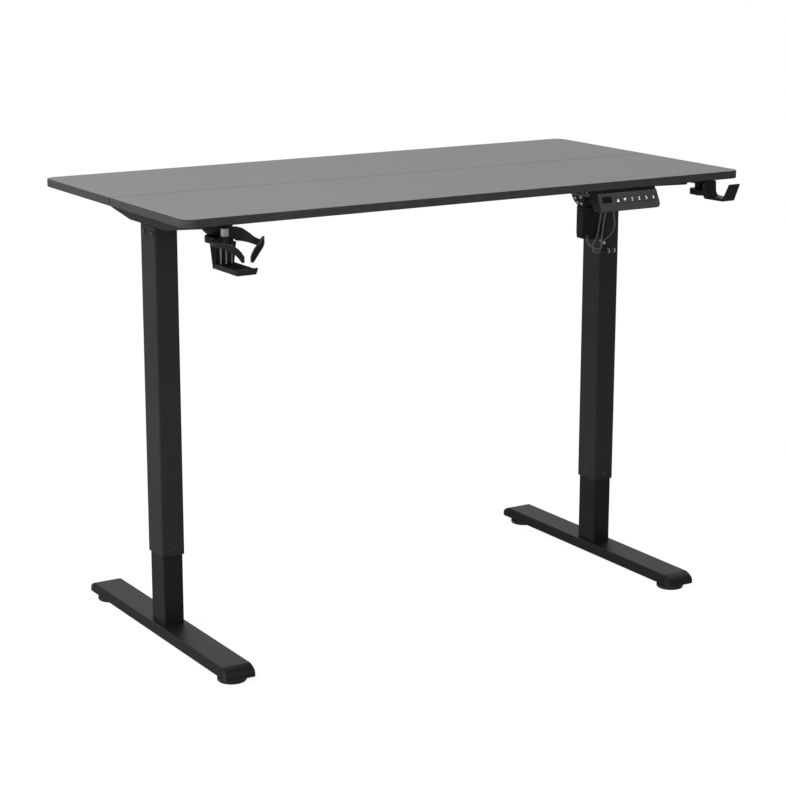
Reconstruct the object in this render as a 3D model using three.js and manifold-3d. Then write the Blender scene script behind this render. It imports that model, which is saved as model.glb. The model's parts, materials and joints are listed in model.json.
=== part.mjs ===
// Height adjustable standing desk: a two-piece desktop on an electric, two-stage, two-column frame,
// with a key panel, a swivelling cup holder and a swivelling headset hook under the front edge.
// Millimetres, +Z up. +X is the user's right, +Y points away from the user.
// The origin is on the floor, in the middle of the rectangle that the whole desk covers.

import * as THREE from 'three';
import { mergeVertices } from 'three/addons/utils/BufferGeometryUtils.js';
import Module from 'manifold-3d';

// ---------------------------------------------------------------- driving dimensions

const SLIP = 0.3;            // gap between pieces that touch or slide on each other
const SHEET = 2.5;           // folded steel sheet of the brackets

const desktop = { width: 1200, depth: 600, thickness: 15, cornerRadius: 22, edgeRound: 1.2 };
const seamPlate = { length: 120, width: 60, thickness: 2, cornerRadius: 6 };

const column = { inset: 100.5, setback: 11.5 };      // from the desktop's ends, and behind its middle
const outerTube = { width: 46, depth: 61.5, wall: 1.5, corner: 4, length: 616.9 };
const innerTube = { width: 40.4, depth: 55.6, wall: 1.6, corner: 3.2, length: 572 };
const exposed = 136.5;       // inner tube that shows between foot and collar as the desk stands
const collar = { lip: 3, sleeve: 45 };

const foot = { width: 58, height: 22, wall: 2, corner: 2, length: 551 };
const footCap = { reach: 20.5, plug: 36, shoulder: 17, brow: 7, sole: 17.5, bevel: 1.2 };
const leveler = { radius: 27, thickness: 9, bevel: 2, stem: 4, stemTop: 17.5, inset: 16, gap: 2.5 };

const leadScrew = { radius: 7, stub: 4.6, chamfer: 1, belowNut: 339 };
const liftNut = { height: 26, flange: 2 };
const bevel = { teeth: 12, pitch: 11, addendum: 1, dedendum: 1.7, faceRatio: 0.55, back: 3 };
const screwJournal = { radius: 9, length: 8 };
const shaftJournal = { radius: 6.5, length: 6.5 };
const hex = { flats: 8, play: 0.3, leftReach: 8, rightReach: 18 };
const drop = { head: 42, shaft: 25 };                // below the desktop: column head plate, hex shaft
const headBracket = { halfDepth: 50.5, flangeTop: 5 };
const gearbox = { halfWidth: 19.9, halfDepth: 34, top: 3.1, spigot: 34.5, cavity: 13.5 };
const neck = { halfWidth: 18.7, halfDepth: 26.7 };

const crossbeam = { depth: 20, height: 30, wall: 1.5, corner: 2, top: 3.3 };
const sideBracket = { frontInset: 66.5, flangeWidth: 40, flatHalf: 73.5, endHeight: 15, corner: 5 };

// Lengths along X from the gearbox, then reaches from the shaft's axis.
const gearcase = { boss: 5.9, body: 27.4, cover: 18, front: 36.5, rear: 14.5, coverRear: 7, bottom: 56,
  shoulder: 37.5, bossHalf: 13, bore: 10.4, coverBore: 5.3 };
const driveHub = { radius: 10, overhang: 1.8 };
const motor = { radius: 24, halfWidth: 22, wormOffset: 21.5, length: 65, bevel: 1.5 };

const controlBox = { fromColumn: 289.5, y: 132.5, length: 240, depth: 75, height: 32, corner: 5, bevel: 1.5 };
const inlet = { width: 20, height: 14, depth: 12, socketRadius: 3.6, socketPitch: 7.5, socketDepth: 8 };

const panel = { fromColumn: 177.7, length: 138.5, flare: 3.5, bodyDepth: 24, rearHeight: 22, cornerLeft: 5,
  cornerRight: 12, bevel: 1, headInset: 2.4 };
// In front of and below the desktop's front lower edge.
const panelFace = { topY: 0.6, topZ: 5.6, bottomY: 12.8, bottomZ: 37 };
const display = { x: -49.8, up: 4.2, width: 22, height: 12, recess: 1.6 };
const keys = { count: 6, firstX: -24.8, pitch: 16.65, up: 1.6, width: 11.5, height: 12, corner: 1.6, proud: 0.8,
  body: 3.2 };
const keyPocketDepth = 3.9;

const swivel = { inset: 76.5, setback: 32, hubThickness: 10.5, boltRadius: 4.9, boltPlay: 0.4,
  boltHead: 8, boltHeadHeight: 3 };
const hookMount = { hubDepth: 18.5, hubRadius: 18, flange: 22, flangeThickness: 6, post: 8.7 };
const cupMount = { hubDepth: 21, hubRadius: 21.5, flange: 26.5, flangeThickness: 9.5, neck: 15.5 };
const hook = { width: 27, bevel: 1.2, plateFront: 4, plateBack: -3.5, bottom: 34, bottomThickness: 6,
  gap: 50, lipReach: 73, lipThickness: 3.2, lipTop: -2, inside: 9, outside: 6 };

// The cup's middle lies cup.centre in front of the desktop's front edge.
const cup = { centre: 42, wallFront: 8.5, wallThickness: 4.5, wallTop: 24, wallBottom: 19,
  floor: 73, floorThickness: 3.5, trayHalf: 19, trayFront: 75, trayCorner: 3, rim: 9, rimThickness: 3,
  lipReach: 80.5, lipTop: 61, lipThickness: 3, ribs: 4, ribPitch: 10.5, ribRadius: 2, ribTop: 33, ribBottom: 66 };
const clawPin = { x: -3, y: 2, radius: 6.3, pin: 2.2, play: 0.35, top: 2.5, split: 19.5, bottom: 31, earHalf: 9,
  lug: 4 };
const clawBand = 4;
// Stations along each arm from its pivot to its finger tip: x and y from the cup's middle, then the depth of
// the top and of the bottom edge below the desktop.
const clawRight = [[8, 38.3, 1.6, 19], [16, 36.6, 1.6, 25.5], [26, 32.5, 4.5, 26.6], [34, 25.5, 11.5, 28.3],
  [39.5, 16, 18.5, 30.3], [41.5, 5, 20.5, 31.6], [41.8, -6, 19, 31.2], [41.5, -14, 13, 26],
  [36.5, -18.8, 17, 31], [29, -21, 23.5, 39.2], [21.5, -22.3, 30, 48.6], [16, -23, 38, 54.6],
  [13, -23.3, 43.8, 53.5]];
const clawLeft = [[8, 39.3, 19.8, 31], [17, 37.6, 19.8, 29.5], [27, 32, 19.6, 27], [35, 24.5, 19.4, 26.5],
  [40.5, 14.5, 19.2, 26], [43, 3, 19, 25.5], [42.4, -8.5, 18.5, 25.5], [38.8, -18.8, 18, 26], [33, -28, 19, 28],
  [26, -34.5, 21.5, 32.5], [19.5, -38.6, 25.5, 40.5], [14, -41, 31.5, 49.2], [9.5, -42.3, 39, 49]];

const panelLead = { radius: 2, sides: 8, steps: 70 };
const motorLead = { radius: 2, sides: 8, steps: 50 };
// Socket and plug that join the panel's lead; it lies along X beside the lead's lowest turn.
const leadPlug = { left: -36.4, length: 38.8, y: -36.8, z: -187, radius: 4, ring: 4.6, ringAt: 21, ringLength: 5,
  taper: 5 };

// ---------------------------------------------------------------- derived places

const footBottom = leveler.thickness + leveler.gap;
const footTop = footBottom + foot.height;
const surfaceHeight = footTop + exposed + collar.lip + SLIP + outerTube.length + SLIP + drop.head + desktop.thickness;
const underside = -desktop.thickness;                 // in the frame of the desktop's top surface
const tubeTop = underside - drop.head - SLIP;
const tubeBottom = tubeTop - outerTube.length;
const shaftZ = underside - drop.shaft;
const columnX = desktop.width / 2 - column.inset;
const webOuter = columnX + outerTube.width / 2;       // the side bracket is flush with the column's outer face
const webInner = webOuter - SHEET;
const frontEdge = -desktop.depth / 2;
const bracketHalf = column.setback - frontEdge - sideBracket.frontInset;
const swivelX = desktop.width / 2 - swivel.inset;
const panelX = columnX - panel.fromColumn;
const controlBoxX = columnX - controlBox.fromColumn;
const gearcaseOuter = columnX - gearbox.halfWidth - gearcase.boss;   // where its body meets the boss
const gearcaseJoint = gearcaseOuter - gearcase.body;                 // where its cover meets the body
const gearcaseInner = gearcaseJoint - gearcase.cover;
const outerBoreW = outerTube.width - 2 * outerTube.wall;
const outerBoreD = outerTube.depth - 2 * outerTube.wall;
const innerBoreW = innerTube.width - 2 * innerTube.wall;
const innerBoreD = innerTube.depth - 2 * innerTube.wall;

// ---------------------------------------------------------------- materials

const finish = (color, roughness, metalness) => new THREE.MeshStandardMaterial({ color, roughness, metalness });
const laminate = finish(0x4a4a4b, 0.55, 0);
const powderCoat = finish(0x232324, 0.5, 0.2);
const blackPlastic = finish(0x1a1a1b, 0.45, 0);
const glossPlastic = finish(0x101011, 0.15, 0);
const zincSteel = finish(0xa7a9ab, 0.35, 0.9);
const gearSteel = finish(0x6f7073, 0.4, 0.8);
const nylon = finish(0xd8d6cf, 0.6, 0);
const rubber = finish(0x161616, 0.8, 0);

// ---------------------------------------------------------------- geometry helpers

const wasm = await Module();
wasm.setup();

function solid(geometry) {
  const bare = geometry.clone();
  bare.deleteAttribute('normal');
  bare.deleteAttribute('uv');
  const merged = mergeVertices(bare, 1e-4);
  return new wasm.Manifold(new wasm.Mesh({
    numProp: 3,
    vertProperties: new Float32Array(merged.attributes.position.array),
    triVerts: new Uint32Array(merged.index.array),
  }));
}

function geometryOf(manifold) {
  const { vertProperties, triVerts } = manifold.getMesh();
  const geometry = new THREE.BufferGeometry();
  geometry.setAttribute('position', new THREE.BufferAttribute(new Float32Array(vertProperties), 3));
  geometry.setIndex(new THREE.BufferAttribute(new Uint32Array(triVerts), 1));
  geometry.computeVertexNormals();
  return geometry;
}

function mesh(name, shape, material) {
  const geometry = shape instanceof THREE.BufferGeometry ? shape : geometryOf(shape);
  const result = new THREE.Mesh(geometry, material);
  result.name = name;
  return result;
}

const block = (x0, x1, y0, y1, z0, z1) =>
  solid(new THREE.BoxGeometry(x1 - x0, y1 - y0, z1 - z0)
    .translate((x0 + x1) / 2, (y0 + y1) / 2, (z0 + z1) / 2));

// A cylinder along Z whose facets touch the given radius from inside.
const drum = (radius, z0, z1, segments = 24) =>
  solid(new THREE.CylinderGeometry(radius, radius, z1 - z0, segments)
    .rotateX(Math.PI / 2).translate(0, 0, (z0 + z1) / 2));

// A cylinder along X.
const axle = (radius, x0, x1, segments = 24) =>
  solid(new THREE.CylinderGeometry(radius, radius, x1 - x0, segments)
    .rotateZ(Math.PI / 2).translate((x0 + x1) / 2, 0, 0));

const turned = (points, segments = 24) =>
  new THREE.LatheGeometry(points.map(([r, z]) => new THREE.Vector2(r, z)), segments).rotateX(Math.PI / 2);

function roundedRect(x0, x1, y0, y1, radius) {
  const radii = Array.isArray(radius) ? radius : [radius, radius, radius, radius];   // from (x0, y0) anticlockwise
  const shape = new THREE.Shape();
  const corners = [[x0, y0, Math.PI], [x1, y0, 1.5 * Math.PI], [x1, y1, 0], [x0, y1, 0.5 * Math.PI]];
  corners.forEach(([x, y, start], i) => {
    const r = radii[i];
    const cx = x === x0 ? x + r : x - r;
    const cy = y === y0 ? y + r : y - r;
    if (r > 0) shape.absarc(cx, cy, r, start, start + Math.PI / 2, false);
    else if (i === 0) shape.moveTo(x, y);
    else shape.lineTo(x, y);
  });
  shape.closePath();
  return shape;
}

function polygon(points) {
  return new THREE.Shape(points.map(([x, y]) => new THREE.Vector2(x, y)));
}

function hexagon(flats) {
  const r = flats / Math.sqrt(3);
  return polygon(Array.from({ length: 6 }, (_, i) => [r * Math.cos((i * Math.PI) / 3), r * Math.sin((i * Math.PI) / 3)]));
}

// Extrusion along +Z from z0 to z1. A bevel rounds both rims inside those limits.
function extrude(shape, z0, z1, { bevelSize = 0, bevelSteps = 1, curve = 4 } = {}) {
  return new THREE.ExtrudeGeometry(shape, {
    depth: z1 - z0 - 2 * bevelSize,
    bevelEnabled: bevelSize > 0,
    bevelSize,
    bevelThickness: bevelSize,
    bevelOffset: -bevelSize,
    bevelSegments: bevelSteps,
    curveSegments: curve,
  }).translate(0, 0, z0 + bevelSize);
}

// The shape's x and y become Y and Z, and the extrusion runs along X.
const alongX = (geometry) => geometry.applyMatrix4(new THREE.Matrix4().makeBasis(
  new THREE.Vector3(0, 1, 0), new THREE.Vector3(0, 0, 1), new THREE.Vector3(1, 0, 0)));

// The shape's x and y become X and Z, and the extrusion runs along Y from -z1 to -z0.
const alongY = (geometry) => geometry.rotateX(Math.PI / 2);

const rectTubeShape = (width, depth, wall, corner) => {
  const shape = roundedRect(-width / 2, width / 2, -depth / 2, depth / 2, corner);
  shape.holes.push(roundedRect(-width / 2 + wall, width / 2 - wall, -depth / 2 + wall, depth / 2 - wall,
    Math.max(corner - wall, 0.5)));
  return shape;
};

function place(object, x, y, z) {
  object.position.set(x, y, z);
  return object;
}

// ---------------------------------------------------------------- feet, inner columns, levelers

// Runs along Y about its own middle, from the floor side up.
function makeFootBeam(name) {
  const shape = roundedRect(-foot.width / 2, foot.width / 2, 0, foot.height, foot.corner);
  shape.holes.push(roundedRect(-foot.width / 2 + foot.wall, foot.width / 2 - foot.wall,
    foot.wall, foot.height - foot.wall, 0.8));
  let beam = solid(alongY(extrude(shape, -foot.length / 2, foot.length / 2, { curve: 2 })));
  for (const side of [-1, 1]) {
    const stemHole = drum(leveler.stem + 3, -1, foot.wall + 1, 12)
      .translate([0, side * (foot.length / 2 - leveler.inset), 0]);
    beam = beam.subtract(stemHole);
  }
  return mesh(name, beam, powderCoat);
}

// Plastic nose outside the beam's end and a plug inside it. Built for the +Y end.
function makeFootCap(name) {
  const nose = new THREE.Shape();
  nose.moveTo(SLIP, 0);
  nose.lineTo(footCap.sole, 0);
  nose.quadraticCurveTo(footCap.reach, 0, footCap.reach, footCap.brow / 2);
  nose.lineTo(footCap.reach, footCap.brow);
  nose.quadraticCurveTo(footCap.reach, footCap.shoulder, SLIP, foot.height);
  nose.closePath();
  const shell = solid(alongX(extrude(nose, -foot.width / 2, foot.width / 2, { bevelSize: footCap.bevel, curve: 6 })));
  const plug = block(
    -foot.width / 2 + foot.wall + SLIP, foot.width / 2 - foot.wall - SLIP,
    -footCap.plug, footCap.bevel * 2,
    foot.wall + SLIP, foot.height - foot.wall - SLIP);
  const bore = drum(leveler.stem + SLIP + 0.1, -1, foot.height - foot.wall - 2 * SLIP - 1, 12)
    .translate([0, -leveler.inset, 0]);
  return mesh(name, shell.add(plug).subtract(bore), blackPlastic);
}

function makeLeveler(name) {
  const { radius, thickness, bevel: edge, stem, stemTop } = leveler;
  const outline = [[0, 0], [radius - edge, 0], [radius, edge], [radius, thickness - edge], [radius - edge, thickness],
    [stem, thickness], [stem, thickness + stemTop], [0, thickness + stemTop]];
  return mesh(name, turned(outline), blackPlastic);
}

function makeInnerTube(name) {
  const tube = extrude(rectTubeShape(innerTube.width, innerTube.depth, innerTube.wall, innerTube.corner),
    SLIP, innerTube.length, { curve: 2 });
  return mesh(name, tube, powderCoat);
}

// Fills the inner tube's top end; its rim sits on the tube and glides inside the outer tube.
function makeLiftNut(name) {
  const body = solid(extrude(roundedRect(
    -innerBoreW / 2 + SLIP, innerBoreW / 2 - SLIP, -innerBoreD / 2 + SLIP, innerBoreD / 2 - SLIP,
    innerTube.corner - innerTube.wall), -liftNut.height, SLIP + 0.5, { curve: 2 }));
  const rim = solid(extrude(roundedRect(
    -outerBoreW / 2 + SLIP, outerBoreW / 2 - SLIP, -outerBoreD / 2 + SLIP, outerBoreD / 2 - SLIP,
    outerTube.corner - outerTube.wall), SLIP, SLIP + liftNut.flange, { curve: 2 }));
  const bore = drum(leadScrew.radius + SLIP + 0.1, -liftNut.height - 1, liftNut.flange + 2, 16);
  return mesh(name, body.add(rim).subtract(bore), nylon);
}

function makeFoot(side, label) {
  const leg = place(new THREE.Group(), side * columnX, column.setback, 0);
  leg.add(place(makeFootBeam(`foot_beam_${label}`), 0, 0, footBottom));
  for (const [end, word] of [[-1, 'front'], [1, 'rear']]) {
    const cap = place(makeFootCap(`foot_cap_${label}_${word}`), 0, (end * foot.length) / 2, footBottom);
    if (end < 0) cap.rotation.z = Math.PI;
    leg.add(cap);
    leg.add(place(makeLeveler(`leveler_${label}_${word}`), 0, end * (foot.length / 2 - leveler.inset), 0));
  }
  leg.add(place(makeInnerTube(`inner_tube_${label}`), 0, 0, footTop));
  leg.add(place(makeLiftNut(`lift_nut_${label}`), 0, 0, footTop + innerTube.length));
  return leg;
}

// ---------------------------------------------------------------- drive: screws, bevel gears, shaft, motor

// Bevel gear with its axis on Z and its pitch cone's tip at the origin; it lies below the tip.
// Each tooth narrows towards the tip, so the outline at the small end is the large one scaled down.
function bevelTeeth(phase) {
  const { teeth, pitch, addendum, dedendum, faceRatio } = bevel;
  const step = (2 * Math.PI) / teeth;
  const outline = [];
  for (let i = 0; i < teeth; i += 1) {
    const middle = phase + i * step;
    const flank = [[-0.24, pitch - dedendum], [-0.1, pitch + addendum], [0.1, pitch + addendum], [0.24, pitch - dedendum]];
    for (const [turn, radius] of flank) {
      const angle = middle + turn * step;
      outline.push(new THREE.Vector2(radius * Math.cos(angle), radius * Math.sin(angle)));
    }
  }
  const rim = new THREE.ExtrudeGeometry(new THREE.Shape(outline), { depth: 1, bevelEnabled: false });
  const points = rim.attributes.position;
  for (let i = 0; i < points.count; i += 1) {
    const small = points.getZ(i) > 0.5;
    const scale = small ? faceRatio : 1;
    points.setXYZ(i, points.getX(i) * scale, points.getY(i) * scale, small ? -pitch * faceRatio : -pitch);
  }
  return solid(rim);
}

function makeScrewGear(name) {
  const base = -bevel.pitch - bevel.back;
  const body = bevelTeeth(0)
    .add(drum(bevel.pitch - bevel.dedendum, base, -bevel.pitch + 0.5))
    .add(drum(screwJournal.radius, base - screwJournal.length, base + 0.5));
  const bore = drum(leadScrew.stub + SLIP, base - screwJournal.length - 1, 0, 20);
  return mesh(name, body.subtract(bore), gearSteel);
}

function makeShaftGear(name) {
  const base = -bevel.pitch - bevel.back;
  const body = bevelTeeth(Math.PI / bevel.teeth)
    .add(drum(bevel.pitch - bevel.dedendum, base, -bevel.pitch + 0.5))
    .add(drum(shaftJournal.radius, base - shaftJournal.length, base + 0.5, 20));
  const bore = solid(extrude(hexagon(hex.flats + 2 * hex.play), base - shaftJournal.length - 1, 0));
  const gear = mesh(name, body.subtract(bore), gearSteel);
  gear.rotation.y = -Math.PI / 2;             // its back faces +X
  return gear;
}

const screwTop = -bevel.pitch - bevel.back - screwJournal.length - SLIP;   // below the shaft's axis

// The screw reaches past the nut by leadScrew.belowNut as the desk stands.
function makeLeadScrew(name) {
  const nutBottom = footTop + innerTube.length - liftNut.height - surfaceHeight - shaftZ;
  const bottom = nutBottom - leadScrew.belowNut;
  const { radius, stub, chamfer } = leadScrew;
  const outline = [[0, bottom], [radius - chamfer, bottom], [radius, bottom + chamfer], [radius, screwTop],
    [stub, screwTop], [stub, -bevel.pitch + 3], [0, -bevel.pitch + 3]];
  return mesh(name, turned(outline, 20), zincSteel);
}

function makeGearbox(name) {
  const top = drop.shaft - gearbox.top;
  const plateTop = drop.shaft - drop.head + SHEET + SLIP;
  const plateBottom = drop.shaft - drop.head;
  const spigotTop = plateBottom - SLIP;
  let body = solid(extrude(roundedRect(-gearbox.halfWidth, gearbox.halfWidth, -gearbox.halfDepth, gearbox.halfDepth, 3),
    plateTop, top, { curve: 2 }));
  body = body.add(block(-neck.halfWidth, neck.halfWidth, -neck.halfDepth, neck.halfDepth, spigotTop - 1, plateTop + 1));
  body = body.add(solid(extrude(roundedRect(
    -outerBoreW / 2 + SLIP, outerBoreW / 2 - SLIP, -outerBoreD / 2 + SLIP, outerBoreD / 2 - SLIP,
    outerTube.corner - outerTube.wall), spigotTop - gearbox.spigot, spigotTop, { curve: 2 })));
  const gearBase = -bevel.pitch - bevel.back - 1;
  const cavities = [
    drum(gearbox.cavity, gearBase, 0),
    axle(gearbox.cavity, -gearbox.cavity, bevel.pitch + bevel.back + 1),
    drum(screwJournal.radius + SLIP + 0.1, gearBase - screwJournal.length, 0),
    drum(leadScrew.radius + SLIP + 0.5, spigotTop - gearbox.spigot - 1, 0, 20),
    axle(shaftJournal.radius + SLIP + 0.1, 0, gearbox.halfWidth + 1, 20),
    axle(hex.flats / Math.sqrt(3) + SLIP + 0.3, -gearbox.halfWidth - 1, 0, 16),
  ];
  for (const cavity of cavities) body = body.subtract(cavity);
  return mesh(name, body, blackPlastic);
}

function makeHexShaft() {
  const from = -columnX - hex.leftReach;
  const to = columnX + hex.rightReach;
  return place(mesh('hex_shaft', alongX(extrude(hexagon(hex.flats), from, to)).rotateX(Math.PI / 2), zincSteel), 0, 0, 0);
}

function makeDriveHub() {
  const from = gearcaseJoint + SLIP;
  const to = gearcaseOuter + driveHub.overhang;
  const bore = solid(alongX(extrude(hexagon(hex.flats + 2 * hex.play), from - 1, to + 1)).rotateX(Math.PI / 2));
  return mesh('drive_hub', axle(driveHub.radius, from, to).subtract(bore), gearSteel);
}

// The casting that holds the worm drive on the hex shaft. Y and Z are measured from the shaft.
function makeMotorGearcase() {
  const top = drop.shaft - gearbox.top;
  const { front, rear, coverRear, bottom, shoulder, bossHalf, bore, coverBore } = gearcase;
  const outline = (back) => polygon([[-front, top], [-front, -bottom], [-front + 21, -bottom],
    [coverRear - 8, -shoulder - 9], [coverRear, -shoulder], [back, -shoulder + 4], [back, top]]);
  const cover = solid(alongX(extrude(outline(coverRear), gearcaseInner, gearcaseJoint + 1, { bevelSize: 1 })));
  const body = solid(alongX(extrude(outline(rear), gearcaseJoint - 1, gearcaseOuter, { bevelSize: 1 })));
  const bossEnd = columnX - gearbox.halfWidth - SLIP;
  const boss = block(gearcaseOuter - 3, bossEnd, -bossHalf, bossHalf, drop.shaft - drop.head + SHEET + SLIP, top);
  return mesh('motor_gearcase', cover.add(body).add(boss)
    .subtract(axle(bore, gearcaseJoint, bossEnd + 1))
    .subtract(axle(coverBore, gearcaseInner - 1, gearcaseJoint + 1, 16)), blackPlastic);
}

// Round can with two flats, hanging under the gearcase beside the right column.
function makeMotorCan() {
  const { radius, halfWidth, length, bevel: edge } = motor;
  const open = Math.acos(halfWidth / radius);
  const shape = new THREE.Shape();
  shape.absarc(0, 0, radius, open, Math.PI - open, false);
  shape.absarc(0, 0, radius, Math.PI + open, 2 * Math.PI - open, false);
  shape.closePath();
  const top = shaftZ - gearcase.bottom - SLIP;
  const can = mesh('motor_can', extrude(shape, -length, 0, { bevelSize: edge, curve: 9 }), powderCoat);
  return place(can, (gearcaseInner + gearcaseOuter) / 2, column.setback - motor.wormOffset, top);
}

// ---------------------------------------------------------------- upper frame

function makeOuterTube(name) {
  return mesh(name, extrude(rectTubeShape(outerTube.width, outerTube.depth, outerTube.wall, outerTube.corner),
    tubeBottom, tubeTop, { curve: 2 }), powderCoat);
}

// Plastic ring at the outer tube's mouth, with a sleeve that guides the inner tube.
function makeCollar(name) {
  const gapW = innerTube.width / 2 + SLIP;
  const gapD = innerTube.depth / 2 + SLIP;
  const lip = solid(extrude(roundedRect(-outerTube.width / 2, outerTube.width / 2, -outerTube.depth / 2,
    outerTube.depth / 2, outerTube.corner), -collar.lip, 0, { curve: 2 }));
  const sleeve = solid(extrude(roundedRect(-outerBoreW / 2 + SLIP, outerBoreW / 2 - SLIP, -outerBoreD / 2 + SLIP,
    outerBoreD / 2 - SLIP, outerTube.corner - outerTube.wall), -1, collar.sleeve, { curve: 2 }));
  const bore = solid(extrude(roundedRect(-gapW, gapW, -gapD, gapD, innerTube.corner), -collar.lip - 1,
    collar.sleeve + 1, { curve: 2 }));
  return place(mesh(name, lip.add(sleeve).subtract(bore), blackPlastic), 0, 0, tubeBottom - SLIP);
}

// U-shaped sheet on top of the column; +X is towards the desk's end.
function makeHeadBracket(name, side) {
  const inner = -outerTube.width / 2;
  const outer = webInner - columnX - SLIP;
  const span = side > 0 ? [inner, outer] : [-outer, -inner];
  const bottom = underside - drop.head;
  const plate = block(...span, -headBracket.halfDepth, headBracket.halfDepth, bottom, bottom + SHEET);
  const hole = block(-neck.halfWidth - SLIP, neck.halfWidth + SLIP, -neck.halfDepth - SLIP, neck.halfDepth + SLIP,
    bottom - 1, bottom + SHEET + 1);
  let bracket = plate.subtract(hole);
  for (const end of [-1, 1]) {
    const y = [end * headBracket.halfDepth, end * (headBracket.halfDepth - SHEET)].sort((a, b) => a - b);
    bracket = bracket.add(block(...span, ...y, bottom, underside - headBracket.flangeTop));
  }
  return mesh(name, bracket, powderCoat);
}

function makeCrossbeam(name) {
  const shape = rectTubeShape(crossbeam.depth, crossbeam.height, crossbeam.wall, crossbeam.corner);
  const reach = webInner - SLIP;
  const beam = alongX(extrude(shape, -reach, reach, { curve: 2 }));
  return mesh(name, beam, powderCoat);
}

// Upright web with tapered ends and a flange under the desktop, folded from one sheet; its web is at +X.
function makeSideBracket(name, side) {
  const { flangeWidth, flatHalf, endHeight, corner } = sideBracket;
  const halfLength = bracketHalf;
  const top = underside - SLIP;
  const web = new THREE.Shape();
  web.moveTo(-halfLength, top);
  web.lineTo(-halfLength, top - endHeight + corner);
  web.quadraticCurveTo(-halfLength, top - endHeight, -halfLength + corner, top - endHeight - 0.8);
  web.lineTo(-flatHalf, underside - drop.head);
  web.lineTo(flatHalf, underside - drop.head);
  web.lineTo(halfLength - corner, top - endHeight - 0.8);
  web.quadraticCurveTo(halfLength, top - endHeight, halfLength, top - endHeight + corner);
  web.lineTo(halfLength, top);
  web.closePath();
  const upright = solid(alongX(extrude(web, webInner, webOuter, { curve: 4 })));
  const flange = solid(extrude(roundedRect(webOuter - flangeWidth, webOuter, -halfLength, halfLength, [6, 0, 0, 6]),
    top - SHEET, top, { curve: 4 }));
  const bracket = mesh(name, upright.add(flange), powderCoat);
  if (side < 0) bracket.rotation.z = Math.PI;
  return place(bracket, 0, column.setback, 0);
}

function makeBoard(name, end) {
  const halfW = desktop.width / 2;
  const reach = (end * desktop.depth) / 2;
  const seamY = (end * SLIP) / 2;
  const r = desktop.cornerRadius;
  const outline = end < 0
    ? roundedRect(-halfW, halfW, reach, seamY, [r, r, 0, 0])
    : roundedRect(-halfW, halfW, seamY, reach, [0, 0, r, r]);
  return mesh(name, extrude(outline, -desktop.thickness, 0, { bevelSize: desktop.edgeRound, curve: 6 }), laminate);
}

function makeSeamPlate() {
  const plate = extrude(roundedRect(-seamPlate.length / 2, seamPlate.length / 2, -seamPlate.width / 2,
    seamPlate.width / 2, seamPlate.cornerRadius), underside - SLIP - seamPlate.thickness, underside - SLIP, { curve: 4 });
  return mesh('seam_plate', plate, powderCoat);
}

// ---------------------------------------------------------------- control box and key panel

function makeControlBox() {
  const { length, depth, height, corner, bevel: edge } = controlBox;
  const top = underside - SLIP;
  const body = solid(extrude(roundedRect(-length / 2, length / 2, -depth / 2, depth / 2, corner), top - height, top,
    { bevelSize: edge, curve: 4 }));
  const pocket = block(-length / 2 - 1, -length / 2 + inlet.depth, -inlet.width / 2 - SLIP, inlet.width / 2 + SLIP,
    top - height / 2 - inlet.height / 2 - SLIP, top - height / 2 + inlet.height / 2 + SLIP);
  return place(mesh('control_box', body.subtract(pocket), blackPlastic), controlBoxX, controlBox.y, 0);
}

// Two-pole mains inlet let into the control box's left end.
function makeInlet() {
  const z = underside - SLIP - controlBox.height / 2;
  const body = block(0, inlet.depth - SLIP, -inlet.width / 2, inlet.width / 2, -inlet.height / 2, inlet.height / 2);
  let socket = axle(inlet.socketRadius, -1, inlet.socketDepth, 20).translate([0, -inlet.socketPitch / 2, 0]);
  socket = socket.add(axle(inlet.socketRadius, -1, inlet.socketDepth, 20).translate([0, inlet.socketPitch / 2, 0]));
  return place(mesh('power_inlet', body.subtract(socket), glossPlastic),
    controlBoxX - controlBox.length / 2, controlBox.y, z);
}

// The sloping front face of the key panel: its middle, its tilt and its height.
const face = {
  y: frontEdge - (panelFace.topY + panelFace.bottomY) / 2,
  z: underside - (panelFace.topZ + panelFace.bottomZ) / 2,
  tilt: Math.atan2(panelFace.bottomZ - panelFace.topZ, panelFace.bottomY - panelFace.topY),
};

const onFace = (geometry) => geometry.rotateX(face.tilt).translate(panelX, face.y, face.z);

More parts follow.
